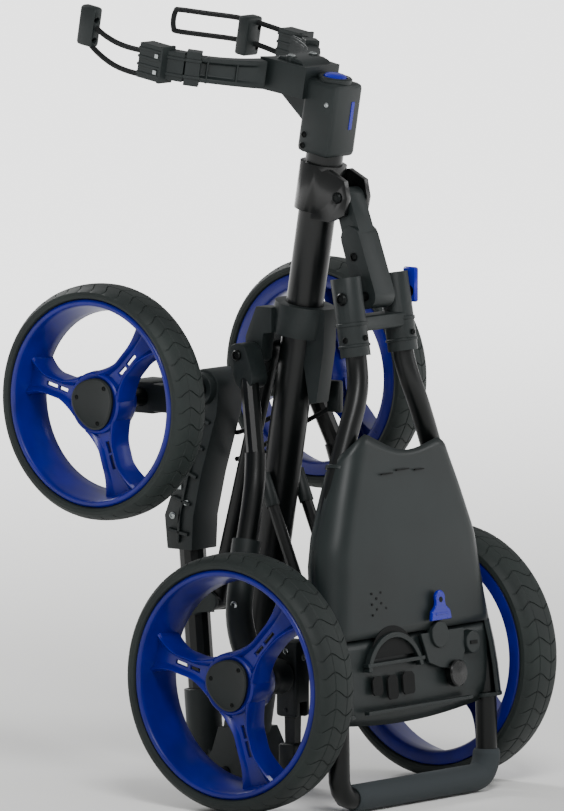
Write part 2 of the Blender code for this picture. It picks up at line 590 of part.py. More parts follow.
# ---------------------------------------------------------------- rear legs
for side, word in ((-1, "left"), (1, "right")):
    low, high = sorted((side * BRACKET_X[0], side * BRACKET_X[1]))
    bracket = side_plate("leg_bracket_" + word, capsule(LEG_PIVOT, (0.094, 0.468), 0.0135, 0.0135), low, high,
                         "casting", "rear_legs", 0.002)
    top = Vector((side * 0.0500, 0.0950, 0.470))
    low_end = Vector((side * 0.0715, 0.0680, 0.385))
    tube_axis = (low_end - top).normalized()
    bore(bracket, top - tube_axis * GAP, top + tube_axis * 0.05, LEG_D + 2 * GAP)
    bore(bracket, *across(*LEG_PIVOT, -0.08, 0.08), LEG_PIN_D + 2 * GAP, None, 16)
    pipe("leg_tube_" + word, [top, low_end + tube_axis * 0.012], LEG_D, LEG_WALL, "black_tube", "rear_legs")
    spine = [low_end + tube_axis * 0.002, (side * 0.082, 0.062, 0.345), (side * 0.100, 0.0600, 0.280),
             (side * 0.120, 0.0540, 0.210), (side * 0.130, 0.030, 0.168), (side * 0.132, 0.0, REAR_AXLE_Z)]
    casting = swept("leg_casting_" + word, rounded(spine, 0.05, 2), 0.030, "casting", "rear_legs", None, 2)
    boss = rod("axle_boss_" + word, *across(0.0, REAR_AXLE_Z, side * 0.113, side * 0.150), 0.040, None, None)
    grow(casting, boss)
    bore(casting, *across(0.0, REAR_AXLE_Z, side * 0.09, side * 0.17), AXLE_D + 2 * GAP)
    bore(casting, low_end - tube_axis * 0.01, low_end + tube_axis * (0.012 + GAP), LEG_D + 2 * GAP)
    prong_low = (side * PRONG_X, 0.0, REAR_AXLE_Z)
    prong_high = (side * PRONG_X, *PRONG_TOP)
    prong = rod("axle_prong_" + word, prong_low, prong_high, PRONG_D, "black_tube", "rear_legs", None, 16)
    grow(prong, rod("prong_clamp", *across(0.0, REAR_AXLE_Z, side * 0.018, side * 0.043), 0.030, None, None))
    bore(prong, *across(0.0, REAR_AXLE_Z, side * 0.0, side * 0.06), AXLE_D + 2 * GAP)
    run = (Vector(prong_high) - Vector(prong_low)).normalized()
    cap = rod("prong_cap_" + word, Vector(prong_high) - run * 0.030, Vector(prong_high) + run * 0.008,
              PRONG_CAP_D, "grey_plastic", "rear_legs", None, 16)
    bore(cap, Vector(prong_high) - run * 0.04, Vector(prong_high) + run * GAP, PRONG_D + 2 * GAP, None, 16)

brake = block("brake_housing", (BRAKE_X - 0.013, -0.015, 0.098), (BRAKE_X + 0.013, 0.015, 0.184), "casting",
              "rear_legs", None, 0.004)
bore(brake, *across(0.0, REAR_AXLE_Z, BRAKE_X - 0.03, BRAKE_X + 0.03), AXLE_D + 2 * GAP)
pocket(brake, (BRAKE_X - 0.0064, -0.03, 0.05), (BRAKE_X + 0.0064, 0.03, BRAKE_PIVOT_Z + 0.009))
grow(brake, rod("brake_pin", *across(0.0, BRAKE_PIVOT_Z, BRAKE_X - 0.0145, BRAKE_X + 0.0145), 0.005, None, None,
                None, 12))
pedal = side_plate("brake_pedal", capsule((0.0, BRAKE_PIVOT_Z), (0.0, 0.062), 0.0075, 0.0065),
                   BRAKE_X - 0.006, BRAKE_X + 0.006, "black_tube", "brake_pedal")
grow(pedal, block("pedal_pad", (BRAKE_X - 0.012, -0.012, 0.036), (BRAKE_X + 0.012, 0.012, 0.068), None, None,
                  None, 0.003))
bore(pedal, *across(0.0, BRAKE_PIVOT_Z, BRAKE_X - 0.03, BRAKE_X + 0.03), 0.0056, None, 12)

# ---------------------------------------------------------------- foot casting and front frame
sole = [(0.085, 0.0), (0.168, 0.0), (0.176, 0.008), (0.175, 0.026), (0.167, 0.040), (0.158, 0.066), (0.116, 0.066),
        (0.104, 0.044), (0.085, 0.028)]
foot = side_plate("foot_casting", sole, -FOOT_HALF, FOOT_HALF, "casting", "frame")
grow(foot, rod("foot_socket", (0, 0, 0.012), (0, 0, 0.064), MAIN_D + 0.0115, None, None, along))
bore(foot, (0, 0, -GAP), (0, 0, 0.08), TUBE_BORE, along, 32)
pocket(foot, (-SLOT_HALF, 0.130, -0.01), (SLOT_HALF, 0.20, 0.0345))
bore(foot, *across(*FOLD_PIVOT, -0.05, 0.05), FOLD_PIN_D + 2 * GAP, None, 16)
rod("fold_pin", *across(*FOLD_PIVOT, -0.030, 0.030), FOLD_PIN_D, "steel", "frame", None, 16)

lean = (FRONT_HIGH[0] - FRONT_LOW[0]) / (FRONT_HIGH[1] - FRONT_LOW[1])


def on_front(z):
    """Point on the front tube's axis."""
    return (0.0, FRONT_LOW[0] + lean * (z - FRONT_LOW[1]), z)


pipe("front_tube", [on_front(0.044), on_front(0.290)], FRONT_D, FRONT_WALL, "black_tube", "front_frame", None, 4)
lug = capsule(FOLD_PIVOT, (0.190, 0.0275), 0.0130, 0.0105)
knuckle = side_plate("front_knuckle", lug, -LUG_HALF, LUG_HALF, "casting", "front_frame")
grow(knuckle, rod("knuckle_collar", on_front(0.030), on_front(0.104), 0.041, None, None))
bore(knuckle, on_front(0.044 - GAP), on_front(0.12), FRONT_D + 2 * GAP)
bore(knuckle, *across(*FOLD_PIVOT, -0.05, 0.05), FOLD_PIN_D + 2 * GAP, None, 16)

clamp = rod("link_clamp", on_front(0.188), on_front(0.222), 0.040, "casting", "front_frame")
for side in (-1, 1):
    low, high = sorted((side * LINK_SLOT, side * 0.0168))
    tab = capsule(LINK_LOW, (0.208, 0.205), 0.0115, 0.0150)
    grow(clamp, side_plate("clamp_tab", tab, low, high, None, None))
bore(clamp, on_front(0.17), on_front(0.24), FRONT_D + 2 * GAP)
pocket(clamp, (-LINK_SLOT, 0.165, 0.16), (LINK_SLOT, 0.204, 0.25))

spine = [(0.236, 0.262), (0.240, 0.300), (0.222, 0.345), (0.206, 0.400)] + disc((FRONT_AXLE_Y, FRONT_AXLE_Z),
                                                                                 0.022, -20, 180, 10)
spine += [(0.164, 0.420), (0.186, 0.350), (0.198, 0.300), (0.200, 0.262)]
post = side_plate("front_casting", spine, -POST_HALF, POST_HALF, "casting", "front_frame", 0.003)
bore(post, on_front(0.24), on_front(0.290 + GAP), FRONT_D + 2 * GAP)
bore(post, *across(FRONT_AXLE_Y, FRONT_AXLE_Z, -0.04, 0.04), AXLE_D + 2 * GAP)
for side, word in ((-1, "left"), (1, "right")):
    near, far = side * 0.090, side * 0.134
    low, high = sorted((near, far))
    wing = block("lower_cradle_" + word, (low, 0.165, 0.4285), (high, 0.202, 0.4655), "casting", "front_frame",
                 None, 0.004)
    inner_x, outer_x = sorted((side * 0.119, side * 0.134))
    grow(wing, block("wing_tip", (inner_x, 0.126, 0.431), (outer_x, 0.175, 0.463), None, None, None, 0.003))
    bore(wing, *across(FRONT_AXLE_Y, FRONT_AXLE_Z, side * 0.06, side * 0.16), AXLE_D + 2 * GAP)

STRAP_X = 0.0292
hook_y = 0.040
route = [(POST_HALF + GAP, 0.172, 0.364), (STRAP_X, 0.172, 0.364), (STRAP_X, hook_y - 0.006, 0.4345),
         (STRAP_X, hook_y - 0.006, 0.4535), (STRAP_X, 0.172, 0.394), (POST_HALF + GAP, 0.172, 0.394)]
path = rounded(route, 0.008)
swept("lower_strap", path, 0.0055, "elastic", "front_frame", None, 2)
hook = block("strap_hook", (STRAP_X - 0.0045, hook_y - 0.014, 0.426), (STRAP_X + 0.0042, hook_y + 0.004, 0.462),
             "grey_plastic", "front_frame", None, 0.002)
channel = add("hook_channel", curve_mesh(swept_curve(path, 0.0055 + 2 * GAP, True, 2)), None, None)
boolean(hook, channel, "DIFFERENCE")
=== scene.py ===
"""Looks of the folded golf push trolley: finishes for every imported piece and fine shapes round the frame.

Metres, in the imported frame: X along the axles, -Y the handle's side, +Z up, origin at the foot's sole.
"""
import json
import logging
import math
from dataclasses import dataclass, replace
from enum import Enum
from typing import Callable, Iterable, Optional, Sequence

import bmesh
import bpy
from mathutils import Matrix, Vector


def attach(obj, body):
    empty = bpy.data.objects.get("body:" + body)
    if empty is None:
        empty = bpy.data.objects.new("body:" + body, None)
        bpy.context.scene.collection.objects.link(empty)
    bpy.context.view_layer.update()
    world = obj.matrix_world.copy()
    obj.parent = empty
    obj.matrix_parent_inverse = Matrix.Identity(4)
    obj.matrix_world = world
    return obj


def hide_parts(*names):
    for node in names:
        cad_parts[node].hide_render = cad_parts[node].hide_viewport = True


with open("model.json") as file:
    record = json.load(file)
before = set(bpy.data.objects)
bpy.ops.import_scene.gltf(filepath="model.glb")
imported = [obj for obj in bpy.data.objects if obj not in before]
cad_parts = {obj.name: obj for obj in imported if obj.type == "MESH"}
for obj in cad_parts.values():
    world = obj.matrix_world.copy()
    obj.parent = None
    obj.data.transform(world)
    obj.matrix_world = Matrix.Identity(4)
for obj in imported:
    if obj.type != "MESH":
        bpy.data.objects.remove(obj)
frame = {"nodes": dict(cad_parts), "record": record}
LOG = logging.getLogger("trolley")
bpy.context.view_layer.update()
MM = 0.001
QUARTER = math.radians(90)
WELD = 1e-6  # points nearer than this are one point


# ---------------------------------------------------------------- finishes
def linear(hex_colour: str) -> tuple[float, float, float, float]:
    """Turns an sRGB hex colour to linear light.

    Args:
        hex_colour: Six hex digits.

    Returns:
        Red, green, blue and alpha.
    """
    values = [int(hex_colour[i:i + 2], 16) / 255 for i in (0, 2, 4)]
    light = [v / 12.92 if v <= 0.04045 else ((v + 0.055) / 1.055) ** 2.4 for v in values]
    return (light[0], light[1], light[2], 1.0)


def add_node(tree: bpy.types.NodeTree, kind: str, settings: Optional[dict] = None,
             links: Optional[dict] = None) -> bpy.types.Node:
    """Adds one shader node with its settings and its incoming links.

    Args:
        tree: The node tree.
        kind: The node's type name, without the ShaderNode prefix.
        settings: Attribute names, or input names, and their values.
        links: Input names and the output sockets that feed them.

    Returns:
        The node.
    """
    node = tree.nodes.new("ShaderNode" + kind)
    for key, value in (settings or {}).items():
        if key in node.inputs:
            node.inputs[key].default_value = value
        else:
            setattr(node, key, value)
    for key, socket in (links or {}).items():
        tree.links.new(socket, node.inputs[key])
    return node


class Texture(Enum):
    """How a surface was made, which sets its fine relief."""

    GRAIN = "moulded grain"
    CELLS = "open cells"
    BRAID = "woven sleeve"
    POWDER = "powder coat"


@dataclass(frozen=True)
class Finish:
    """One real material: two near colours, gloss and a fine relief at a real size."""

    name: str
    colour: str
    second: str
    roughness: float
    texture: Texture
    pitch_mm: float
    relief_mm: float
    metallic: float = 0.0
    coat: float = 0.0
    patch_mm: float = 45.0
    ior: float = 1.5
    spread: float = 0.10
    specular: float = 0.30

    def material(self) -> bpy.types.Material:
        """Makes the Blender material, once.

        Returns:
            The material.
        """
        if self.name in bpy.data.materials:
            return bpy.data.materials[self.name]
        made = bpy.data.materials.new(self.name)
        made.use_nodes = True
        tree = made.node_tree
        tree.nodes.clear()
        place = add_node(tree, "TexCoord").outputs["UV" if self.texture is Texture.BRAID else "Object"]
        object_place = add_node(tree, "TexCoord").outputs["Object"]
        patches = add_node(tree, "TexNoise", {"Scale": 1.0 / (self.patch_mm * MM), "Detail": 3.0},
                           {"Vector": object_place})
        shade = add_node(tree, "ValToRGB", None, {"Fac": patches.outputs["Fac"]})
        shade.color_ramp.elements[0].position = 0.35
        shade.color_ramp.elements[0].color = linear(self.colour)
        shade.color_ramp.elements[1].position = 0.68
        shade.color_ramp.elements[1].color = linear(self.second)
        relief = self.relief(tree, place)
        gloss = add_node(tree, "MapRange", {"To Min": self.roughness - self.spread / 2,
                                            "To Max": self.roughness + self.spread / 2},
                         {"Value": patches.outputs["Fac"]})
        bump = add_node(tree, "Bump", {"Strength": 0.6, "Distance": self.relief_mm * MM}, {"Height": relief})
        shader = add_node(tree, "BsdfPrincipled", {"Metallic": self.metallic, "IOR": self.ior,
                                                   "Specular IOR Level": self.specular,
                                                   "Coat Weight": self.coat, "Coat Roughness": 0.12},
                          {"Base Color": shade.outputs["Color"], "Roughness": gloss.outputs["Result"],
                           "Normal": bump.outputs["Normal"]})
        add_node(tree, "OutputMaterial", None, {"Surface": shader.outputs["BSDF"]})
        return made

    def relief(self, tree: bpy.types.NodeTree, place: bpy.types.NodeSocket) -> bpy.types.NodeSocket:
        """Adds the fine relief's nodes.

        Args:
            tree: The node tree.
            place: Socket of the coordinates.

        Returns:
            The height's socket.
        """
        scale = 1.0 / (self.pitch_mm * MM)
        if self.texture is Texture.CELLS:
            return add_node(tree, "TexVoronoi", {"Scale": scale}, {"Vector": place}).outputs["Distance"]
        if self.texture is Texture.BRAID:
            wave = {"wave_type": "BANDS", "bands_direction": "DIAGONAL", "Scale": 1.0, "Distortion": 0.0}
            return add_node(tree, "TexWave", wave, {"Vector": place}).outputs["Fac"]
        detail = 1.0 if self.texture is Texture.POWDER else 4.0
        return add_node(tree, "TexNoise", {"Scale": scale, "Detail": detail},
                        {"Vector": place}).outputs["Fac"]


# Foamed EVA and rubber tread: matt, slightly chalky, with a fine pebble from the mould.
TYRE = Finish("foamed_rubber", "191f1e", "202725", 0.60, Texture.GRAIN, 1.6, 0.10, patch_mm=60)
# Glass-filled nylon in a deep blue: a clean moulded skin with a soft gloss.
BLUE_NYLON = Finish("blue_moulded_nylon", "010566", "010678", 0.34, Texture.GRAIN, 0.9, 0.02, coat=0.10)
# ABS controls in a brighter blue, polished.
BLUE_ABS = Finish("blue_gloss_abs", "01068a", "02079c", 0.26, Texture.GRAIN, 0.9, 0.01, coat=0.25)
# Aluminium tube with a satin black powder coat, whose slight orange peel shows in the highlight.
POWDER = Finish("black_powder_coat", "050808", "080b0b", 0.34, Texture.POWDER, 2.4, 0.05)
# Glass-filled nylon castings: dark grey with a fine spark-eroded grain.
NYLON = Finish("grey_glass_filled_nylon", "151b1b", "1b2121", 0.48, Texture.GRAIN, 0.8, 0.05, patch_mm=30)
# Console shells: polypropylene with a fine leather-like grain and a satin sheen.
SHELL = Finish("console_polypropylene", "181e1e", "1d2424", 0.40, Texture.GRAIN, 1.1, 0.05, patch_mm=80)
# Hub caps and toggles: ABS, a little darker, satin.
CAP = Finish("dark_satin_abs", "0f1414", "141a1a", 0.42, Texture.GRAIN, 0.9, 0.03)
# Light grey ABS end caps.
LIGHT = Finish("light_grey_abs", "2c3333", "343c3c", 0.45, Texture.GRAIN, 0.9, 0.03)
# Closed-cell foam grip: soft, matt, small cells.
FOAM = Finish("grip_foam", "1a2022", "22292b", 0.88, Texture.CELLS, 1.5, 0.22, patch_mm=25)
# Bungee cord: a woven polyester sleeve over rubber.
ELASTIC = Finish("woven_elastic_cord", "07090a", "101415", 0.70, Texture.BRAID, 1.4, 0.25, patch_mm=2.2)
# Zinc-plated steel: pins and screws, bright and a little cloudy.
ZINC = Finish("zinc_plated_steel", "8f9494", "a3a8a8", 0.32, Texture.POWDER, 1.2, 0.02, metallic=1.0)
# Polished black ABS: sleeve, hood and badge.
GLOSS_BLACK = Finish("black_gloss_abs", "040606", "060808", 0.28, Texture.GRAIN, 1.0, 0.01, coat=0.2)
# Painted shade: dark plates and discs put where the inside of a hole, a slot or a pocket lies in shade.
PAINTED_SHADE = Finish("painted_recess_shade", "060808", "090b0b", 0.75, Texture.GRAIN, 1.0, 0.03)
# Blackened steel screws.
BLACK_STEEL = Finish("black_oxide_steel", "0c0e0e", "141717", 0.38, Texture.POWDER, 1.2, 0.02, metallic=0.7)

# Elastic cord without its braid, for a cord that has no UV map.
SMOOTH_ELASTIC = replace(ELASTIC, name="smooth_elastic_cord", texture=NYLON.texture, pitch_mm=NYLON.pitch_mm,
                         relief_mm=NYLON.relief_mm)

SLOT_FINISH: dict[str, Finish] = {
    "tyre_rubber": TYRE, "blue_nylon": BLUE_NYLON, "dark_plastic": CAP, "blue_gloss": BLUE_ABS,
    "elastic_cord": ELASTIC, "steel": ZINC, "black_tube": POWDER, "grip_foam": FOAM,
    "console_plastic": SHELL, "light_plastic": LIGHT, "grey_nylon": NYLON,
}

NODE_FINISH: dict[str, Finish] = {
    "lower_strap": SMOOTH_ELASTIC, "clevis_pin": BLACK_STEEL, "handle_pin": BLACK_STEEL,
    "leg_pin": BLACK_STEEL, "fold_pin": BLACK_STEEL,
}


# ---------------------------------------------------------------- making pieces
def publish(bm: bmesh.types.BMesh, name: str, finish: Finish, body: str,
            place: Optional[Matrix] = None, stands_for: Sequence[str] = (), bevel: float = 0.0,
            sharp: float = 32.0, recalc: bool = True) -> bpy.types.Object:
    """Makes a piece from a bmesh and gives it its place, finish and body.

    Args:
        bm: The shape, which is freed.
        name: The piece's name.
        finish: Its material.
        body: The frame body that it rides on.
        place: Where the shape goes.
        stands_for: Frame nodes that it replaces.
        bevel: Width of its rounded edges, in metres.
        sharp: Edges over this angle in degrees stay sharp.
        recalc: Turn all faces outwards.

    Returns:
        The piece.
    """
    if place is not None:
        bmesh.ops.transform(bm, matrix=place, verts=bm.verts)
    bmesh.ops.remove_doubles(bm, verts=bm.verts, dist=WELD)
    if recalc:
        bmesh.ops.recalc_face_normals(bm, faces=bm.faces)
    mesh = bpy.data.meshes.new(name)
    bm.to_mesh(mesh)
    bm.free()
    mesh.materials.append(finish.material())
    mesh.shade_smooth()
    mesh.set_sharp_from_angle(angle=math.radians(sharp))
    piece = bpy.data.objects.new(name, mesh)
    bpy.context.scene.collection.objects.link(piece)
    if bevel:
        edge = piece.modifiers.new("round", "BEVEL")
        edge.width = bevel
        edge.segments = 3
        edge.limit_method = "ANGLE"
        edge.angle_limit = math.radians(sharp)
        edge.harden_normals = True
    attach(piece, body)
    if stands_for:
        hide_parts(*stands_for)
    LOG.info("%s rides on %s", name, body)
    return piece


def lathe(bm: bmesh.types.BMesh, profile: Iterable[tuple[float, float]], steps: int,
          closed: bool = True) -> None:
    """Spins a profile of radius and height about local Z.

    Args:
        bm: Where the shape goes.
        profile: Points of radius and height.
        steps: Segments in the turn.
        closed: Join the last point to the first.
    """
    points = [bm.verts.new((r, 0.0, h)) for r, h in profile]
    pairs = list(zip(points, points[1:])) + ([(points[-1], points[0])] if closed else [])
    edges = [bm.edges.new(pair) for pair in pairs]
    bmesh.ops.spin(bm, geom=points + edges, cent=(0, 0, 0), axis=(0, 0, 1), angle=math.tau, steps=steps,
                   use_merge=True, dvec=(0, 0, 0))


def cylinder(bm: bmesh.types.BMesh, start: Sequence[float], end: Sequence[float], radius: float,
             sides: int = 32, top: Optional[float] = None) -> list[bmesh.types.BMVert]:
    """Adds a capped cylinder or cone between two points.

    Args:
        bm: Where the shape goes.
        start: Centre of its first end.
        end: Centre of its other end.
        radius: Radius at the first end.
        sides: Sides of its section.
        top: Radius at the other end, where it differs.

    Returns:
        The new vertices.
    """
    a, b = Vector(start), Vector(end)
    turn = (b - a).to_track_quat("Z", "Y").to_matrix().to_4x4()
    made = bmesh.ops.create_cone(bm, cap_ends=True, segments=sides, radius1=radius,
                                 radius2=radius if top is None else top, depth=(b - a).length,
                                 matrix=Matrix.Translation((a + b) / 2) @ turn)
    return made["verts"]


def box(bm: bmesh.types.BMesh, low: Sequence[float], high: Sequence[float],
        turn: Optional[Matrix] = None) -> list[bmesh.types.BMVert]:
    """Adds a box between two corners.

    Args:
        bm: Where the shape goes.
        low: Its lowest corner.
        high: Its highest corner.
        turn: Matrix applied afterwards.

    Returns:
        The new vertices.
    """
    a, b = Vector(low), Vector(high)
    place = Matrix.Translation((a + b) / 2) @ Matrix.Diagonal((*(b - a), 1.0))
    return bmesh.ops.create_cube(bm, size=1.0, matrix=(turn or Matrix.Identity(4)) @ place)["verts"]


def plate(bm: bmesh.types.BMesh, outline: Sequence[tuple[float, float]], low: float, high: float,
          place: Matrix) -> None:
    """Extrudes a flat outline along local Z, then puts it in its place.

    Args:
        bm: Where the shape goes.
        outline: Points of the outline.
        low: Height of its lower face.
        high: Height of its upper face.
        place: Where it goes.
    """
    ring = [bm.verts.new((a, b, low)) for a, b in outline]
    face = bm.faces.new(ring)
    grown = bmesh.ops.extrude_face_region(bm, geom=[face])["geom"]
    moved = [v for v in grown if isinstance(v, bmesh.types.BMVert)]
    bmesh.ops.translate(bm, vec=(0, 0, high - low), verts=moved)
    bmesh.ops.transform(bm, matrix=place, verts=ring + moved)


def arc(centre: tuple[float, float], radius: float, start: float, stop: float,
        steps: int) -> list[tuple[float, float]]:
    """Reads points on an arc.

    Args:
        centre: The arc's centre.
        radius: Its radius.
        start: First angle, in degrees.
        stop: Last angle, in degrees.
        steps: Steps between them.

    Returns:
        The points.
    """
    angles = [math.radians(start + (stop - start) * i / steps) for i in range(steps + 1)]
    return [(centre[0] + radius * math.cos(a), centre[1] + radius * math.sin(a)) for a in angles]


def flowing(points: Sequence[Sequence[float]], steps: int = 8) -> list[Vector]:
    """Reads a smooth curve through the points, Catmull-Rom fashion.

    Args:
        points: Points that it passes.
        steps: Steps from one to the next.

    Returns:
        Points on the curve.
    """
    knots = [Vector(p) for p in points]
    knots = [knots[0] * 2 - knots[1]] + knots + [knots[-1] * 2 - knots[-2]]
    path = []
    for a, b, c, d in zip(knots, knots[1:], knots[2:], knots[3:]):
        for step in range(steps):
            t = step / steps
            path.append(0.5 * (2 * b + (c - a) * t + (2 * a - 5 * b + 4 * c - d) * t * t
                               + (3 * b - a - 3 * c + d) * t ** 3))
    path.append(knots[-2])
    return path


def sweep(name: str, path: Sequence[Vector], radius: float, finish: Finish, body: str,
          stands_for: Sequence[str] = (), sides: int = 24,
          swell: Optional[Callable[[float], float]] = None) -> bpy.types.Object:
    """A round bar along a path, with its length and girth in its UV map.

    Args:
        name: The piece's name.
        path: Points of its middle line.
        radius: Its radius.
        finish: Its material.
        body: The frame body that it rides on.
        stands_for: Frame nodes that it replaces.
        sides: Sides of its section.
        swell: The radius' factor at a distance along it, in metres.

    Returns:
        The piece.
    """
    bm = bmesh.new()
    run = 0.0
    rings = []
    ahead = (path[1] - path[0]).normalized()
    turn = ahead.to_track_quat("Z", "Y").to_matrix().to_4x4()
    for index, here in enumerate(path):
        before, after = path[max(index - 1, 0)], path[min(index + 1, len(path) - 1)]
        now = (after - before).normalized()
        turn = ahead.rotation_difference(now).to_matrix().to_4x4() @ turn
        ahead = now
        if index:
            run += (here - path[index - 1]).length
        size = radius * (swell(run) if swell else 1.0)
        ring = bmesh.ops.create_circle(bm, segments=sides, radius=size,
                                       matrix=Matrix.Translation(here) @ turn)
        rings.append((ring["verts"], run))
    layer = bm.loops.layers.uv.new("UVMap")
    for (first, along_a), (second, along_b) in zip(rings, rings[1:]):
        for side in range(sides):
            after = (side + 1) % sides
            face = bm.faces.new((first[side], first[after], second[after], second[side]))
            girth = math.tau * radius
            corners = ((side, along_a), (side + 1, along_a), (side + 1, along_b), (side, along_b))
            for loop, (step, along) in zip(face.loops, corners):
                loop[layer].uv = (step / sides * girth / (finish.pitch_mm * MM),
                                  along / (finish.pitch_mm * MM))
    for verts, _ in (rings[0], rings[-1]):
        bm.faces.new(verts)
    return publish(bm, name, finish, body, None, stands_for, 0.0, sharp=50.0)


TILT = math.atan(0.17)
FOOT_Y = 0.108
MAIN_BASE = (0.141, 0.045)


def along_tube(u: float = 0.0, v: float = 0.0, x: float = 0.0) -> Matrix:
    """Place whose local Z runs up the main tube from its lower end.

    Args:
        u: Distance up the tube.
        v: Distance across it, towards the bag's side.
        x: Distance from the middle plane.

    Returns:
        The matrix.
    """
    base = Matrix.Translation((0.0, MAIN_BASE[0] - FOOT_Y, MAIN_BASE[1]))
    return base @ Matrix.Rotation(TILT, 4, "X") @ Matrix.Translation((x, v, u))


# ---------------------------------------------------------------- wheels
@dataclass
class Wheel:
    """A spoked wheel: treaded tyre, double-rib spokes, rounded triangular hub cap."""

    body: str
    side: int
    x: float
    y: float
    z: float
    tyre_r: float
    rim_r: float
    width: float
    lip: float = 0.008
    taper: float = 0.016
    blocks: int = 44
    first_spoke: float = 77.0

    def place(self) -> Matrix:
        """Place whose local Z points away from the middle plane.

        Returns:
            The matrix.
        """
        return (Matrix.Translation((self.side * self.x, self.y - FOOT_Y, self.z))
                @ Matrix.Rotation(self.side * QUARTER, 4, "Y"))

    def build(self) -> None:
        """Builds the whole wheel."""
        self.tyre()
        self.rim()
        self.cap()

    def tyre(self) -> None:
        """Spins the section, then sinks the grooves between its tread blocks."""
        half, top, inner = self.width / 2, self.tyre_r, self.rim_r + 0.0003
        wall = top - inner
        section = [(inner, half - 0.004), (inner + wall * 0.08, half - 0.0012), (inner + wall * 0.28, half),
                   (inner + wall * 0.50, half - 0.0008), (top - 0.0056,
                                                          half - 0.0032), (top - 0.0030, half - 0.007),
                   (top - 0.0014, half - 0.012)]
        crown = [(top - 0.0012 * f * f * 4, half * f) for f in (0.42, 0.36, 0.33, 0.30, 0.24, 0.12, 0.0)]
        right = section + crown
        left = [(r, -h) for r, h in reversed(right[:-1])]
        bm = bmesh.new()
        fractions = (0.0, 0.30, 0.62, 0.90, 0.925, 0.975)
        steps = self.blocks * len(fractions)
        lathe(bm, right + left, steps)
        drop = 0.0011
        pitch = math.tau / self.blocks
        for vert in bm.verts:
            radius = math.hypot(vert.co.x, vert.co.y)
            column = round(math.atan2(vert.co.y, vert.co.x) / math.tau * steps) % steps
            block, part = divmod(column, len(fractions))
            across = vert.co.z / half
            tread = max(0.0, min(1.0, (radius - (top - 0.0068)) / 0.0040))
            skew = 0.22 * math.sin(across * math.pi * 1.5) * min(1.0, tread * 2)
            angle = (block + fractions[part] + skew) * pitch
            if part in (4, 5):
                radius -= drop * tread
            if 0.325 < abs(across) < 0.335 or abs(across) > 0.985 and part in (4, 5):
                radius -= drop * 0.8 * tread
            vert.co.x, vert.co.y = radius * math.cos(angle), radius * math.sin(angle)
        publish(bm, self.body + "_tread_tyre", TYRE, self.body, self.place(),
                (self.body + "_tyre",), 0.0, sharp=24.0)

    def rim(self) -> None:
        """Barrel, hub and three spokes in one moulding."""
        seat = self.width / 2 - 0.003
        r = self.rim_r
        face = self.width / 2 - 0.0105
        bm = bmesh.new()
        barrel = [(r, seat - 0.001), (r, -seat), (r - 0.004, -seat - 0.0015),
                  (r - self.taper + 0.002, -seat - 0.001),
                  (r - self.taper, -seat + 0.002), (r - self.taper + 0.001, -seat * 0.35),
                  (r - self.lip - 0.003, seat * 0.45), (r - self.lip - 0.0005, seat - 0.006),
                  (r - self.lip + 0.0005, seat - 0.001), (r - self.lip + 0.002, seat + 0.0012),
                  (r - 0.0025, seat + 0.0014)]
        lathe(bm, barrel, 96)
        low = -self.width / 2 + 0.002
        hub = [(0.0075, low), (0.0075, face - 0.004), (0.026, face - 0.0015), (0.0325, face + 0.0012),
               (0.0348, face - 0.001), (0.0358, face - 0.010), (0.0352, face - 0.024), (0.0320, low + 0.006),
               (0.0280, low)]
        lathe(bm, list(reversed(hub)), 48)
        for arm in range(3):
            self.spoke(bm, math.radians(self.first_spoke + 120 * arm), face)
        publish(bm, self.body + "_spoked_rim", BLUE_NYLON, self.body, self.place(),
                (self.body + "_rim",), 0.0009, sharp=38.0)

    def spoke(self, bm: bmesh.types.BMesh, angle: float, face: float) -> None:
        """A deep channel spoke: two ribs that splay at both ends, and a web with two slots between them.

        Args:
            bm: The rim's shape.
            angle: The spoke's direction.
            face: Height of the hub's outer face.
        """
        start, end = 0.026, self.rim_r - self.lip - 0.0005
        grid = bmesh.ops.create_grid(bm, x_segments=26, y_segments=12, size=1.0)["verts"]
        depths = {}
        for vert in grid:
            t, v = (vert.co.x + 1) / 2, vert.co.y
            near, far = max(0.0, 1 - t / 0.34), max(0.0, (t - 0.55) / 0.45)
            half = 0.0118 + 0.0125 * near ** 1.5 + 0.0150 * far ** 1.9
            rib = 1 - min(1.0, abs(abs(v) - 0.80) / 0.34)
            rib = rib * rib * (3 - 2 * rib)
            height = -0.0075 + 0.0072 * rib - 0.0075 * far ** 1.2 + 0.002 * near
            side = max(0.0, (abs(v) - 0.62) / 0.38)
            depths[vert] = 0.0042 + (0.0215 + 0.006 * far) * min(1.0, side * 2.2)
            vert.co = (start + (end - start) * t, v * half, height)
        faces = {f for v in grid for f in v.link_faces}
        gone = [f for f in faces if abs(f.calc_center_median().y) < 0.0018
                and (0.22 < (f.calc_center_median().x - start) / (end - start) < 0.37
                     or 0.44 < (f.calc_center_median().x - start) / (end - start) < 0.60)]
        bmesh.ops.delete(bm, geom=gone, context="FACES")
        kept = [f for f in faces if f.is_valid]
        base = sorted({v for f in kept for v in f.verts}, key=lambda v: v.index)
        drops = [depths[v] for v in base]
        spots = {tuple(round(c, 7) for c in v.co): d for v, d in zip(base, drops)}
        grown = bmesh.ops.extrude_face_region(bm, geom=kept, use_keep_orig=True)["geom"]
        top = [v for v in grown if isinstance(v, bmesh.types.BMVert)]
        for vert in base:
            vert.co.z -= spots[tuple(round(c, 7) for c in vert.co)]
        turn = Matrix.Rotation(angle, 4, "Z") @ Matrix.Translation((0, 0, face + 0.001))
        bmesh.ops.transform(bm, matrix=turn, verts=base + top)

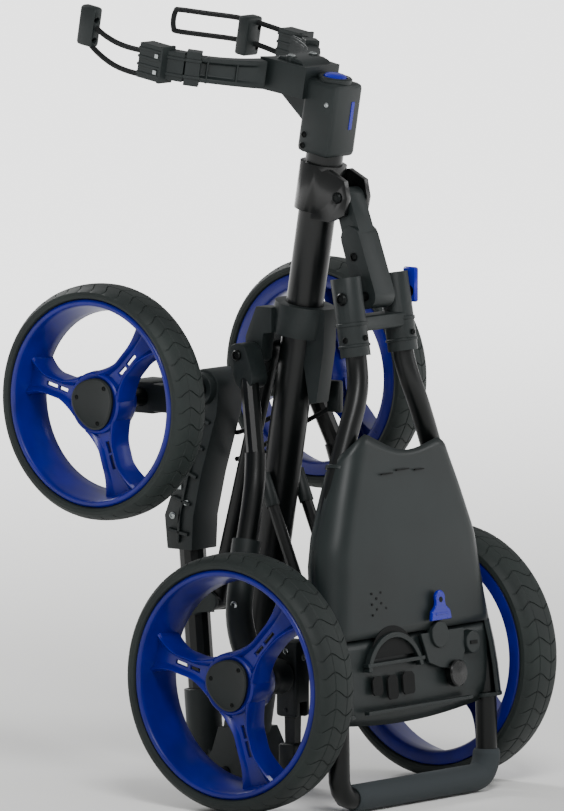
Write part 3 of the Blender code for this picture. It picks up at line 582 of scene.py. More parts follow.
    def cap(self) -> None:
        """Rounded triangular cap with a raised rim and three screws."""
        face = self.width / 2 - 0.0105
        bm = bmesh.new()
        ring = bmesh.ops.create_circle(bm, cap_ends=True, segments=72, radius=0.0305)["verts"]
        shape = math.radians(self.first_spoke)
        for vert in ring:
            angle = math.atan2(vert.co.y, vert.co.x)
            vert.co *= 0.945 + 0.055 * math.cos(3 * (angle - shape))
            vert.co.z = face + 0.0003
        disc = [f for f in bm.faces][0]
        grown = bmesh.ops.extrude_face_region(bm, geom=[disc])["geom"]
        bmesh.ops.translate(bm, vec=(0, 0, 0.0034),
                            verts=[v for v in grown if isinstance(v, bmesh.types.BMVert)])
        lid = [f for f in grown if isinstance(f, bmesh.types.BMFace)]
        bmesh.ops.inset_region(bm, faces=lid, thickness=0.0022, depth=0.0006)
        bmesh.ops.inset_region(bm, faces=lid, thickness=0.0024, depth=-0.0007)
        publish(bm, self.body + "_cap", CAP, self.body, self.place(),
                (self.body + "_hub_cap",), 0.0005, sharp=30.0)
        screws = bmesh.new()
        for arm in range(3):
            angle = shape + math.tau / 3 * arm
            x, y = 0.0235 * math.cos(angle), 0.0235 * math.sin(angle)
            z = face + 0.0037
            socket_screw(screws, Matrix.Translation((x, y, z)), 0.0026, 0.0008)
        publish(screws, self.body + "_cap_screws", BLACK_STEEL, self.body, self.place())


def socket_screw(bm: bmesh.types.BMesh, place: Matrix, radius: float, height: float) -> None:
    """Adds a button-head screw with a hexagonal socket, its head along local Z.

    Args:
        bm: Where the shape goes.
        place: Where it goes.
        radius: The head's radius.
        height: The head's height.
    """
    section = [(0.0001, 0.0), (radius, 0.0), (radius * 0.96, height * 0.5), (radius * 0.75, height * 0.92),
               (radius * 0.55, height)]
    before = set(bm.verts)
    lathe(bm, section, 18, closed=False)
    made = [v for v in bm.verts if v not in before]
    lip = bmesh.ops.create_circle(bm, cap_ends=True, segments=6, radius=radius * 0.5,
                                  matrix=Matrix.Translation((0, 0, height * 0.35)))["verts"]
    wall = bmesh.ops.create_cone(bm, cap_ends=False, segments=6, radius1=radius * 0.5, radius2=radius * 0.56,
                                 depth=height * 0.65, matrix=Matrix.Translation((0, 0, height * 0.675)))["verts"]
    bmesh.ops.transform(bm, matrix=place, verts=made + lip + wall)


# ---------------------------------------------------------------- tubes
@dataclass
class Tubing:
    """The powder-coated tubes, drawn round."""

    main_d: float = 0.042

    def build(self) -> None:
        """Builds the tubes that show."""
        self.straight("main_round_tube", along_tube() @ Vector((0, 0, 0.0005)),
                      along_tube() @ Vector((0, 0, 0.7045)),
                      self.main_d / 2, "frame", "main_tube")

    def straight(self, name: str, low: Vector, high: Vector, radius: float, body: str, node: str) -> None:
        """Makes a straight tube in place of a node.

        Args:
            name: The piece's name.
            low: Its lower end.
            high: Its upper end.
            radius: Its radius.
            body: The frame body that it rides on.
            node: The node that it replaces.
        """
        bm = bmesh.new()
        cylinder(bm, low, high, radius, 48)
        publish(bm, name, POWDER, body, None, (node,), 0.0006)


# ---------------------------------------------------------------- castings and mouldings
def softened(node: str, finish: Finish, body: str, width: float = 0.0012,
             name: Optional[str] = None) -> bpy.types.Object:
    """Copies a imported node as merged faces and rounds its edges.

    Args:
        node: The node that the copy stands for.
        finish: Its material.
        body: Its body.
        width: Width of the rounded edges.
        name: The piece's name, or node and "moulded".

    Returns:
        The piece.
    """
    bm = bmesh.new()
    bm.from_mesh(frame["nodes"][node].data)
    bmesh.ops.remove_doubles(bm, verts=bm.verts, dist=2e-6)
    bmesh.ops.dissolve_limit(bm, angle_limit=math.radians(2.0), verts=bm.verts, edges=bm.edges,
                             delimit={"NORMAL"})
    bmesh.ops.dissolve_degenerate(bm, dist=2e-5, edges=bm.edges)
    for face in bm.faces:
        face.smooth = True
    mesh = bpy.data.meshes.new(name or node + "_moulded")
    bm.to_mesh(mesh)
    bm.free()
    mesh.materials.clear()
    mesh.materials.append(finish.material())
    piece = bpy.data.objects.new(mesh.name, mesh)
    bpy.context.scene.collection.objects.link(piece)
    edge = piece.modifiers.new("round", "BEVEL")
    edge.width = width
    edge.segments = 3
    edge.limit_method = "ANGLE"
    edge.angle_limit = math.radians(34)
    edge.harden_normals = True
    edge.use_clamp_overlap = True
    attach(piece, body)
    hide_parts(node)
    LOG.info("%s rides on %s", piece.name, body)
    return piece


def fittings(name: str, spots: Sequence[tuple[Matrix, float, float]], finish: Finish, body: str,
             place: Optional[Matrix] = None) -> bpy.types.Object:
    """Adds a set of socket screws as one piece.

    Args:
        name: The piece's name.
        spots: Place, radius and height of each screw.
        finish: Its material.
        body: The frame body that it rides on.
        place: Matrix for the whole set.

    Returns:
        The piece.
    """
    bm = bmesh.new()
    for spot, radius, height in spots:
        socket_screw(bm, spot, radius, height)
    return publish(bm, name, finish, body, place)


def facing(axis: str, x: float, y: float, z: float) -> Matrix:
    """Place whose local Z looks along an axis.

    Args:
        axis: The axis and its sign, such as -x.
        x: Its x.
        y: Its y, from the rear axle.
        z: Its z.

    Returns:
        The matrix.
    """
    ahead = Vector({"-x": (-1, 0, 0), "+x": (1, 0, 0), "-y": (0, -1, 0), "+y": (0, 1, 0),
                    "+z": (0, 0, 1)}[axis])
    return Matrix.Translation((x, y - FOOT_Y, z)) @ ahead.to_track_quat("Z", "Y").to_matrix().to_4x4()


def loft(bm: bmesh.types.BMesh, rings: Sequence[Sequence[Sequence[float]]], closed: bool,
         caps: bool = False) -> None:
    """Joins rings of points with the same count by bridging them.

    Args:
        bm: Where the shape goes.
        rings: Rings in order.
        closed: Each ring comes back to its start.
        caps: Fill the first and the last ring.
    """
    loops = []
    for ring in rings:
        verts = [bm.verts.new(p) for p in ring]
        pairs = list(zip(verts, verts[1:])) + ([(verts[-1], verts[0])] if closed else [])
        loops.append([bm.edges.new(pair) for pair in pairs])
        if caps and ring in (rings[0], rings[-1]):
            bm.faces.new(verts)
    for low, high in zip(loops, loops[1:]):
        bmesh.ops.bridge_loops(bm, edges=low + high)


# ---------------------------------------------------------------- head and bag cradle
@dataclass
class Cradle:
    """Head housing, two arms with ribbed tips, and the elastic bag straps."""

    centre_v: float = 0.192
    radius: float = 0.117
    wall: float = 0.018
    low: float = 0.744
    high: float = 0.780
    cord_d: float = 0.0062
    middle: float = 0.762

    def build(self) -> None:
        """Builds the head, the arms and the straps."""
        softened("head_housing", NYLON, "frame", 0.0022)
        self.head_details()
        for side, word in ((-1, "left"), (1, "right")):
            self.arm(side, word)
            self.strap(side, word)
        softened("strap_toggle", NYLON, "frame", 0.002)
        softened("strap_slider", NYLON, "frame", 0.0016)

    def head_details(self) -> None:
        """Button, its raised rim, a blue strip, screws and ribs on the saddle."""
        bm = bmesh.new()
        lathe(bm, [(0.0002, 0.0085), (0.006, 0.0083), (0.0105, 0.0072), (0.0128, 0.0052), (0.0135, 0.002),
                   (0.0135, -0.004), (0.0002, -0.004)], 48, closed=False)
        publish(bm, "button_dome", BLUE_ABS, "head_button", along_tube(0.768), ("head_button",))
        bm = bmesh.new()
        lathe(bm, [(0.0145, -0.002), (0.0200, -0.002), (0.0195, 0.0035), (0.0180, 0.0048), (0.0158, 0.0048),
                   (0.0145, 0.0036)], 48)
        publish(bm, "button_rim", NYLON, "frame", along_tube(0.768))
        bm = bmesh.new()
        box(bm, (0.0060, -0.0238, 0.7160), (0.0112, -0.0226, 0.7480), along_tube())
        publish(bm, "head_indicator", BLUE_ABS, "frame", None, (), 0.0006)
        turn = Matrix.Rotation(math.radians(-90), 4, "Y")
        fittings("head_screws", [(along_tube(u, 0.0140, -0.0249) @ turn, 0.0036,
                                  0.0016) for u in (0.692, 0.7045)],
                 BLACK_STEEL, "frame")
        fittings("head_pin", [(along_tube(0.7440, -0.0120, -0.0249) @ turn, 0.0030, 0.0010)], ZINC, "frame")
        bm = bmesh.new()
        gusset = [(0.018, 0.7440), (0.062, 0.7440), (0.0225, 0.7180), (0.018, 0.7180)]
        across_tube = along_tube() @ Matrix(((0, 0, 1, 0), (1, 0, 0, 0), (0, 1, 0, 0), (0, 0, 0, 1)))
        plate(bm, gusset, -0.0200, 0.0200, across_tube)
        ridge = [(0.026, 0.7790), (0.068, 0.7790), (0.064, 0.7835), (0.052, 0.7850), (0.038, 0.7850),
                 (0.030, 0.7830)]
        plate(bm, ridge, -0.0240, 0.0240, across_tube)
        for x in (-0.019, 0.019):
            cylinder(bm, along_tube() @ Vector((x, 0.050, 0.779)), along_tube() @ Vector((x, 0.050, 0.7865)),
                     0.0062, 24)
        publish(bm, "saddle_ribs", NYLON, "frame", None, (), 0.0014)
        spots = [(along_tube(0.7865, 0.050, x), 0.0042, 0.0014) for x in (-0.019, 0.019)]
        fittings("saddle_screws", spots, ZINC, "frame")

    def arm(self, side: int, word: str) -> None:
        """One arm: a swept hollow band with flanges, and its ribbed tip block.

        Args:
            side: -1 left, 1 right.
            word: The side's name.
        """
        start, stop = (-71.7, -12.0) if side > 0 else (-108.3, -168.0)
        rings = []
        steps = 22
        for i in range(steps + 1):
            t = i / steps
            angle = math.radians(start + (stop - start) * t)
            tall = 0.5 * (self.high - self.low - 0.004) * (1.0 - 0.10 * math.sin(math.pi * t))
            inside, outside = self.radius, self.radius + self.wall * (1.0 - 0.18 * math.sin(math.pi * t))
            sunk = outside - 0.0055 * math.sin(math.pi * min(1.0, max(0.0, t)))
            profile = [(inside, -tall), (outside, -tall), (outside, -tall + 0.0050), (sunk, -tall + 0.0075),
                       (sunk, tall - 0.0075), (outside, tall - 0.0050), (outside, tall), (inside, tall)]
            rings.append([(r * math.cos(angle), self.centre_v + r * math.sin(angle), self.middle + h)
                          for r, h in profile])
        bm = bmesh.new()
        loft(bm, rings, closed=True, caps=True)
        for part in range(3):
            angle = math.radians(start + (stop - start) * (0.25 + 0.25 * part))
            turn = Matrix.Translation((0, self.centre_v, self.middle)) @ Matrix.Rotation(angle, 4, "Z")
            box(bm, (self.radius + 0.004, -0.0012, -0.0150), (self.radius + self.wall * 0.84, 0.0012, 0.0150),
                turn)
        tip = (side * (self.radius + self.wall / 2) * math.cos(math.radians(12)),
               self.centre_v - (self.radius + self.wall / 2) * math.sin(math.radians(12)))
        publish(bm, f"arm_band_{word}", NYLON, "frame", along_tube(), (f"cradle_arm_{word}",),
                0.0011)
        bm = bmesh.new()
        x, v = tip
        box(bm, (x - 0.0115, v - 0.024, self.low - 0.002), (x + 0.0115, v + 0.0085, self.high + 0.002))
        for level in (self.low + 0.004, self.low + 0.0135, self.high - 0.0135, self.high - 0.004):
            box(bm, (x - 0.0124, v - 0.0235, level - 0.0016), (x + 0.0124, v + 0.0095, level + 0.0016))
        box(bm, (x - 0.0118, v - 0.0245, self.low - 0.003), (x + 0.0118, v - 0.0205, self.high + 0.003))
        for part, long, tall in ((0.80, 0.0150, 0.0166), (0.62, 0.0085, 0.0195)):
            angle = math.radians(start + (stop - start) * part)
            turn = Matrix.Translation((0, self.centre_v, self.middle)) @ Matrix.Rotation(angle, 4, "Z")
            box(bm, (self.radius + 0.0003, -long, -tall), (self.radius + self.wall - 0.0010, long, tall),
                turn)
            for level in (-0.0095, 0.0095):
                box(bm, (self.radius - 0.0004, -long - 0.0012, level - 0.0018),
                    (self.radius + self.wall + 0.0004, long + 0.0012, level + 0.0018), turn)
        publish(bm, f"arm_tip_{word}", NYLON, "frame", along_tube(), (), 0.0008)
        bm = bmesh.new()
        for level in (self.low + 0.0088, self.high - 0.0088):
            box(bm, (x + side * 0.0122 - 0.0012, v - 0.020, level - 0.0024),
                (x + side * 0.0122 + 0.0012, v - 0.0152, level + 0.0024))
            box(bm, (x - side * 0.0122 - 0.0012, v - 0.020, level - 0.0024),
                (x - side * 0.0122 + 0.0012, v - 0.0152, level + 0.0024))
        publish(bm, f"arm_pins_{word}", ZINC, "frame", along_tube(), (), 0.0003)

    def strap(self, side: int, word: str) -> None:
        """One closed loop of elastic cord, held in the arm's tip.

        Args:
            side: -1 left, 1 right.
            word: The side's name.
        """
        tip_x = (self.radius + self.wall / 2) * math.cos(math.radians(12))
        if side < 0:
            line = [(tip_x, 0.164, 0.757, 0.0135), (tip_x, 0.180, 0.7565, 0.0135),
                    (tip_x - 0.001, 0.200, 0.756, 0.0132),
                    (tip_x - 0.004, 0.220, 0.757, 0.0128), (tip_x - 0.008, 0.240, 0.7605, 0.0122),
                    (tip_x - 0.011, 0.256, 0.7655, 0.0117), (tip_x - 0.012, 0.2655, 0.7700, 0.0112)]
        else:
            line = [(tip_x, 0.164, 0.762, 0.0135), (tip_x, 0.180, 0.764, 0.0130),
                    (tip_x - 0.002, 0.200, 0.766, 0.0125),
                    (tip_x - 0.005, 0.215, 0.7672, 0.0125), (tip_x - 0.008, 0.240, 0.7668, 0.0125),
                    (tip_x - 0.010, 0.280, 0.7625, 0.0125), (tip_x - 0.012, 0.318, 0.7585, 0.0125)]
        upper = [(side * x, v, u + half) for x, v, u, half in line]
        lower = [(side * x, v, u - half) for x, v, u, half in reversed(line)]
        x, v, u, half = line[-1]
        turn = [(side * x, v + half * 0.45, u + half * 0.82), (side * x, v + half * 0.62, u),
                (side * x, v + half * 0.45, u - half * 0.82)]
        path = [along_tube() @ point for point in flowing(upper + turn + lower, 7)]
        sweep(f"strap_cord_{word}", path, self.cord_d / 2, ELASTIC, "frame",
              (f"bag_strap_{word}",), 16)


# ---------------------------------------------------------------- handle
@dataclass
class Handle:
    """Clevis, arm, yoke, bent tube, cam lever and foam grip."""

    tube_r: float = 0.012
    grip_r: float = 0.0155
    pivot: tuple[float, float] = (-0.045, 0.565)

    def build(self) -> None:
        """Builds the handle's pieces."""
        softened("handle_clevis", GLOSS_BLACK, "frame", 0.0006)
        softened("handle_arm", NYLON, "handle_arm", 0.0022)
        softened("handle_yoke", NYLON, "handle", 0.0020)
        softened("cam_lever", BLUE_ABS, "cam_lever", 0.0016)
        self.tube()
        self.grip()
        self.details()

    def leg(self) -> list[Vector]:
        """Reads the right leg's middle line, from the yoke down.

        Returns:
            Its points.
        """
        points = [(0.0425, -0.0443, 0.5415), (0.0425, -0.0487, 0.5165), (0.0425, -0.0530, 0.4920),
                  (0.0472, -0.0580, 0.4680), (0.0565, -0.0608, 0.4450), (0.0680, -0.0612, 0.4200),
                  (0.0840, -0.0616, 0.3830), (0.1000, -0.0622, 0.3450), (0.1110, -0.0640, 0.3120),
                  (0.1190, -0.0680, 0.2800), (0.1240, -0.0745, 0.2450), (0.1280, -0.0840, 0.2000),
                  (0.1310, -0.0930, 0.1600), (0.1325, -0.0980, 0.1250), (0.1330, -0.0996, 0.0800),
                  (0.1330, -0.1000, 0.0500)]
        return [Vector(p) for p in points]

    def tube(self) -> None:
        """The bent tube as one bar down the right leg, across and up the left one."""
        right = flowing(self.leg(), 4)
        bend = [Vector(p) for p in ((0.1325, -0.1, 0.0375), (0.129, -0.1, 0.0270), (0.122, -0.1, 0.0190),
                                    (0.1130, -0.1, 0.0160))]
        half = right + bend + [Vector((x, -0.1, 0.0158)) for x in (0.10, 0.06, 0.02)]
        path = half + [Vector((-p.x, p.y, p.z)) for p in reversed(half)]
        path = [Vector((p.x, p.y - FOOT_Y, p.z)) for p in path]
        sweep("handle_bent_tube", path, self.tube_r, POWDER, "handle", ("handle_tube",), 32)

    def grip(self) -> None:
        """Foam sleeve with rounded ends, over the cross bar and up round its right corner."""
        centre = [Vector((x, -0.1, 0.0158)) for x in (-0.110, -0.10, -0.07, -0.035, 0.0, 0.035, 0.07, 0.10)]
        centre += [Vector(p) for p in ((0.1130, -0.1, 0.0162), (0.122, -0.1, 0.0192), (0.129, -0.1, 0.0272),
                                       (0.1325, -0.1, 0.0375), (0.1330, -0.1, 0.0470))]
        path = [Vector((p.x, p.y - FOOT_Y, p.z)) for p in flowing(centre, 3)]
        total = sum((b - a).length for a, b in zip(path, path[1:]))

        def girth(run: float) -> float:
            """Rounds the foam's two ends.

            Args:
                run: Distance along the foam.

            Returns:
                The radius' factor.
            """
            end = min(run, total - run)
            return 0.86 + 0.14 * math.sqrt(max(0.0, min(1.0, end / 0.004)))

        sweep("grip_foam_sleeve", path, self.grip_r, FOAM, "handle", ("foam_grip",), 40, girth)

    def details(self) -> None:
        """Pivot screws, clevis screws, beads and screws at the leg sockets, and a moulded rib and two screws on
        the arm.
        """
        y, z = self.pivot
        spots = [(facing("-x", -0.0595, y, z), 0.0072, 0.0035), (facing("+x", 0.0595, y, z), 0.0072, 0.0035)]
        fittings("handle_pivot_screws", spots, BLACK_STEEL, "handle")
        spots = [(facing("-x", -0.0215, -0.008, 0.673), 0.0066, 0.0030),
                 (facing("+x", 0.0215, -0.008, 0.673), 0.0066, 0.0030)]
        fittings("clevis_screws", spots, BLACK_STEEL, "frame")
        bm = bmesh.new()
        for side in (-1, 1):
            for low, high, radius in ((0.5335, 0.5375, 0.0182), (0.5105, 0.5135, 0.0182)):
                a = Vector((side * 0.0425, -0.0365 + (low - 0.587) * 0.1724 - FOOT_Y, low))
                b = Vector((side * 0.0425, -0.0365 + (high - 0.587) * 0.1724 - FOOT_Y, high))
                cylinder(bm, a, b, radius, 40)
        publish(bm, "socket_beads", NYLON, "handle", None, (), 0.0008)
        spots = [(facing("-y", side * 0.0425, -0.0655, 0.522), 0.0034, 0.0014) for side in (-1, 1)]
        spots += [(facing("-x", -0.0592, -0.0495, 0.519), 0.0036, 0.0016)]
        fittings("socket_screws", spots, BLACK_STEEL, "handle")
        bm = bmesh.new()
        box(bm, (-0.0105, -0.0352 - FOOT_Y, 0.6020), (0.0105, -0.0332 - FOOT_Y, 0.6170))
        publish(bm, "arm_catch", NYLON, "handle_arm", None, (), 0.0008)
        spots = [(facing("-x", -0.0174, -0.0285, 0.6080), 0.0050, 0.0022),
                 (facing("+x", 0.0174, -0.0285, 0.6080), 0.0050, 0.0022)]
        fittings("arm_screws", spots, BLACK_STEEL, "handle_arm")


# ---------------------------------------------------------------- console
@dataclass
class Console:
    """Shell round the handle's two legs, with lid, latch, cup holder and a blank badge."""

    tilt: float = -math.radians(5.1)
    top: tuple[float, float] = (-0.085, 0.407)
    lid_low: float = 0.215

    def place(self) -> Matrix:
        """Place with local X across, local Z up the front panel and local Y into the shell.

        Returns:
            The matrix.
        """
        return Matrix.Translation((0.0, self.top[0] - FOOT_Y,
                                   self.top[1])) @ Matrix.Rotation(self.tilt, 4, "X")

    def half_width(self, h: float) -> float:
        """Reads how far the leg's middle line is from the middle plane.

        Args:
            h: Height down the panel.

        Returns:
            The distance.
        """
        table = [(0.0, 0.070), (-0.060, 0.096), (-0.115, 0.117), (-0.165, 0.1235), (-0.215, 0.1285),
                 (-0.270, 0.1315), (-0.34, 0.133)]
        for (a, xa), (b, xb) in zip(table, table[1:]):
            if h >= b:
                return xa + (xb - xa) * (a - h) / (a - b)
        return table[-1][1]

    def build(self) -> None:
        """Builds the console."""
        self.shell()
        self.lid()
        self.latch()
        self.details()

    def depth(self, h: float) -> float:
        """Reads the local y of the leg's middle line.

        Args:
            h: Height down the panel.

        Returns:
            The local y.
        """
        table = [(0.0, 0.024), (-0.06, 0.029), (-0.115, 0.0325), (-0.165, 0.030), (-0.205, 0.019),
                 (-0.25, 0.012),
                 (-0.30, 0.0105), (-0.35, 0.014)]
        for (a, ya), (b, yb) in zip(table, table[1:]):
            if h >= b:
                return ya + (yb - ya) * (a - h) / (a - b)
        return table[-1][1]

    def shell(self) -> None:
        """Back tray and the two rolled edges that hug the legs, as one walled sheet."""
        rings = []
        levels = [-0.028, -0.045, -0.07, -0.10, -0.13, -0.16, -0.19, -0.215, -0.24, -0.265, -0.285, -0.300]
        for h in levels:
            x, y = self.half_width(h), self.depth(h)
            radius = 0.0152
            arch = []
            for step in range(13):
                angle = math.radians(-75 + 250 * step / 12)
                arch.append((x + radius * math.cos(angle), y + radius * math.sin(angle), h))
            front = [(x - 0.004, y - radius - 0.0006, h)]
            inner = [(x - 0.0175, min(0.051, y + radius + 0.006), h), (x * 0.62, 0.051, h),
                     (x * 0.3, 0.051, h)]
            right = front + arch + inner
            left = [(-a, b, c) for a, b, c in reversed(right)]
            rings.append(right + [(0.0, 0.051, h)] + left)
        bm = bmesh.new()
        loft(bm, rings, closed=False)
        bmesh.ops.remove_doubles(bm, verts=bm.verts, dist=WELD)
        bmesh.ops.recalc_face_normals(bm, faces=bm.faces)
        piece = publish(bm, "console_shell", SHELL, "handle", self.place(),
                        ("console_tray",), 0.0,
                        sharp=40.0, recalc=False)
        wall = piece.modifiers.new("wall", "SOLIDIFY")
        wall.thickness = 0.0022
        wall.offset = 0.0
        self.fascia()

    def fascia(self) -> None:
        """Lower front: raised arch, dark plates of painted shade for its pocket and windows, bosses and the
        bottom lip.
        """
        low = self.lid_low
        rings = []
        for i in range(9):
            ring = []
            for j in range(45):
                s = -1 + 2 * j / 44
                deep = 0.084 + 0.014 * math.cos(s * math.pi / 2) - 0.004 * s
                level = -low - 0.0016 - deep * i / 8
                x, y = self.front_point(s, level, 0.0022)
                ring.append((x, y + 0.010 * (i / 8) ** 6, level))
            rings.append(ring)
        bm = bmesh.new()
        loft(bm, rings, closed=False)
        self.walled(bm, "console_fascia", "handle", ())
        turn = Matrix.Rotation(QUARTER, 4, "X")
        bm = bmesh.new()
        arch = arc((-0.048, -0.262), 0.0505, 168, 12, 24)
        inner = arc((-0.048, -0.262), 0.0445, 12, 168, 24)
        plate(bm, arch + inner, -0.001, 0.0070, turn)
        box(bm, (-0.098, -0.0075, -0.247), (0.004, 0.001, -0.2425))
        plate(bm, [(0.002, -0.2185), (0.0795, -0.2185), (0.0795, -0.245), (0.071, -0.259), (0.052, -0.262),
                   (0.033, -0.259), (0.014, -0.252)], 0.0, 0.0045, turn)
        for x, z, radius in ((0.034, -0.222, 0.0165), (0.092, -0.236, 0.014)):
            cylinder(bm, (x, 0.002, z), (x, -0.0075, z), radius, 36, radius - 0.0018)
        box(bm, (-0.100, -0.0052, -0.2995), (0.088, 0.002, -0.2955))
        publish(bm, "console_pocket", SHELL, "handle", self.place(), (), 0.0009)
        bm = bmesh.new()
        plate(bm, arc((-0.048, -0.2440), 0.0400, 8, 172, 20), 0.0014, 0.0032, turn)
        for a, b, c, d in ((-0.088, -0.070, -0.279, -0.258), (-0.061, -0.043, -0.286, -0.259),
                           (-0.034, -0.013, -0.283, -0.258)):
            plate(bm, [(a + 0.003, c), (b - 0.003, c), (b, c + 0.003), (b, d - 0.004), (b - 0.004, d),
                       (a + 0.004, d),
                       (a, d - 0.004), (a, c + 0.003)], 0.0014, 0.0036, turn)
        box(bm, (0.086, -0.0086, -0.2385), (0.098, -0.0074, -0.2345))
        # Painted shade: dark plates where the pocket and the windows lie in shade.
        publish(bm, "console_window_shade", PAINTED_SHADE, "handle", self.place(), (), 0.0004)
        bm = bmesh.new()
        lathe(bm, [(0.0002, 0.0105), (0.0135, 0.0100), (0.0150, 0.0085), (0.0152, 0.002), (0.0002, 0.002)],
              48,
              closed=False)
        publish(bm, "blank_badge", GLOSS_BLACK, "handle",
                self.place() @ Matrix.Translation((0.060, 0, -0.268)) @ turn)

    def front_point(self, s: float, h: float, front: float) -> tuple[float, float]:
        """Point of the front's cross-section, flat in the middle and rolled back round each leg.

        Args:
            s: Place across, -1 to 1.
            h: Height down the panel.
            front: Local y of the flat part.

        Returns:
            Local x and y.
        """
        x, y = self.half_width(h), self.depth(h)
        corner, roll, sign = 0.72, 0.0172, (1 if s >= 0 else -1)
        flat = x - 0.008
        if abs(s) <= corner:
            return s / corner * flat, front
        angle = (abs(s) - corner) / (1 - corner) * math.pi / 2
        return (sign * (flat + (x + roll - flat) * math.sin(angle)),
                front + (y - front) * (1 - math.cos(angle)))

    def lid(self) -> None:
        """Crowned lid with a saddle top, rolled edges, and dark pieces of painted shade for its grooves and
        holes.
        """
        rings = []
        rows, columns = 22, 44
        for i in range(rows + 1):
            t = i / rows
            h = -0.002 - (self.lid_low - 0.002) * t
            ring = []
            for j in range(columns + 1):
                s = -1 + 2 * j / columns
                top = max(0.0, 1 - t / 0.26)
                dip = (0.010 * math.cos(s * math.pi * 0.95) + 0.010 * s) * top ** 1.3
                side_drop = 0.034 * max(0.0, (abs(s) - 0.72) / 0.28) ** 1.2 * max(0.0, 1 - t / 0.40)
                level = h - dip - side_drop
                x, y = self.front_point(s, min(-0.004, level), 0.0022)
                bulge = 0.0052 * (1 - abs(s) ** 2.4) * min(1.0, 0.25 + t * 1.6)
                ring.append((x, y - bulge, level))
            rings.append(ring)
        bm = bmesh.new()
        loft(bm, rings, closed=False)
        self.walled(bm, "lid_crowned", "console_lid", ("console_lid",))
        bm = bmesh.new()
        for x, z, length in ((-0.036, -0.036, 0.020), (-0.008, -0.0335, 0.022), (0.022, -0.036, 0.016)):
            box(bm, (x - length / 2, -0.0034, z - 0.0007), (x + length / 2, -0.0010, z + 0.0007))
        for x, z in ((-0.078, -0.166), (-0.070, -0.172), (-0.078, -0.178), (-0.070, -0.184), (-0.062, -0.178),
                     (-0.062, -0.166), (-0.078, -0.190), (-0.054, -0.184)):
            cylinder(bm, (x, -0.0030, z), (x, -0.0005, z), 0.0014, 10)
        # Painted shade: dark bars and pegs where the grooves and holes lie in shade.
        publish(bm, "lid_groove_shade", PAINTED_SHADE, "console_lid", self.place())

    def walled(self, bm: bmesh.types.BMesh, name: str, body: str, stands_for: Sequence[str]) -> None:
        """Turns an open front sheet outwards and gives it a wall behind.

        Args:
            bm: The sheet, which is freed.
            name: The piece's name.
            body: The frame body that it rides on.
            stands_for: Frame nodes that it replaces.
        """
        bmesh.ops.remove_doubles(bm, verts=bm.verts, dist=WELD)
        bmesh.ops.recalc_face_normals(bm, faces=bm.faces)
        if sum(f.normal.y * f.calc_area() for f in bm.faces) > 0:
            bmesh.ops.reverse_faces(bm, faces=bm.faces)
        piece = publish(bm, name, SHELL, body, self.place(), stands_for, 0.0, sharp=40.0,
                        recalc=False)
        wall = piece.modifiers.new("wall", "SOLIDIFY")
        wall.thickness = 0.0024
        wall.offset = -1.0

    def latch(self) -> None:
        """Latch with an oval top and a flared foot. A dark disc of painted shade on its face stands for the
        finger hole.
        """
        turn = Matrix.Rotation(QUARTER, 4, "X")
        outline = arc((0.034, -0.181), 0.0085, 200, -20, 14)
        outline += [(0.0435, -0.190), (0.0505, -0.1955), (0.0525, -0.2060), (0.0155, -0.2060),
                    (0.0175, -0.1955), (0.0245, -0.190)]
        bm = bmesh.new()
        plate(bm, outline, 0.0064, 0.0108, turn)
        publish(bm, "latch_tongue", BLUE_ABS, "console_latch", self.place(), ("console_latch",),
                0.0014)
        bm = bmesh.new()
        cylinder(bm, (0.034, -0.0100, -0.183), (0.034, -0.0111, -0.183), 0.0032, 20)
        # Painted shade: a dark disc where the finger hole lies in shade.
        publish(bm, "latch_hole_shade", PAINTED_SHADE, "console_latch", self.place())
        bm = bmesh.new()
        box(bm, (0.0235, -0.0116, -0.2000), (0.0445, -0.0104, -0.1975))
        publish(bm, "latch_ridge", BLUE_ABS, "console_latch", self.place(), (), 0.0005)

    def details(self) -> None:
        """Beads at the sleeves' lower and upper ends."""
        bm = bmesh.new()
        for side in (-1, 1):
            for low, high in ((-0.301, -0.2965), (-0.030, -0.026)):
                a = self.place() @ Vector((side * self.half_width(low), self.depth(low), low))
                b = self.place() @ Vector((side * self.half_width(high), self.depth(high), high))
                cylinder(bm, a, b, 0.0172, 40)
        publish(bm, "sleeve_beads", SHELL, "handle", None, (), 0.0008)


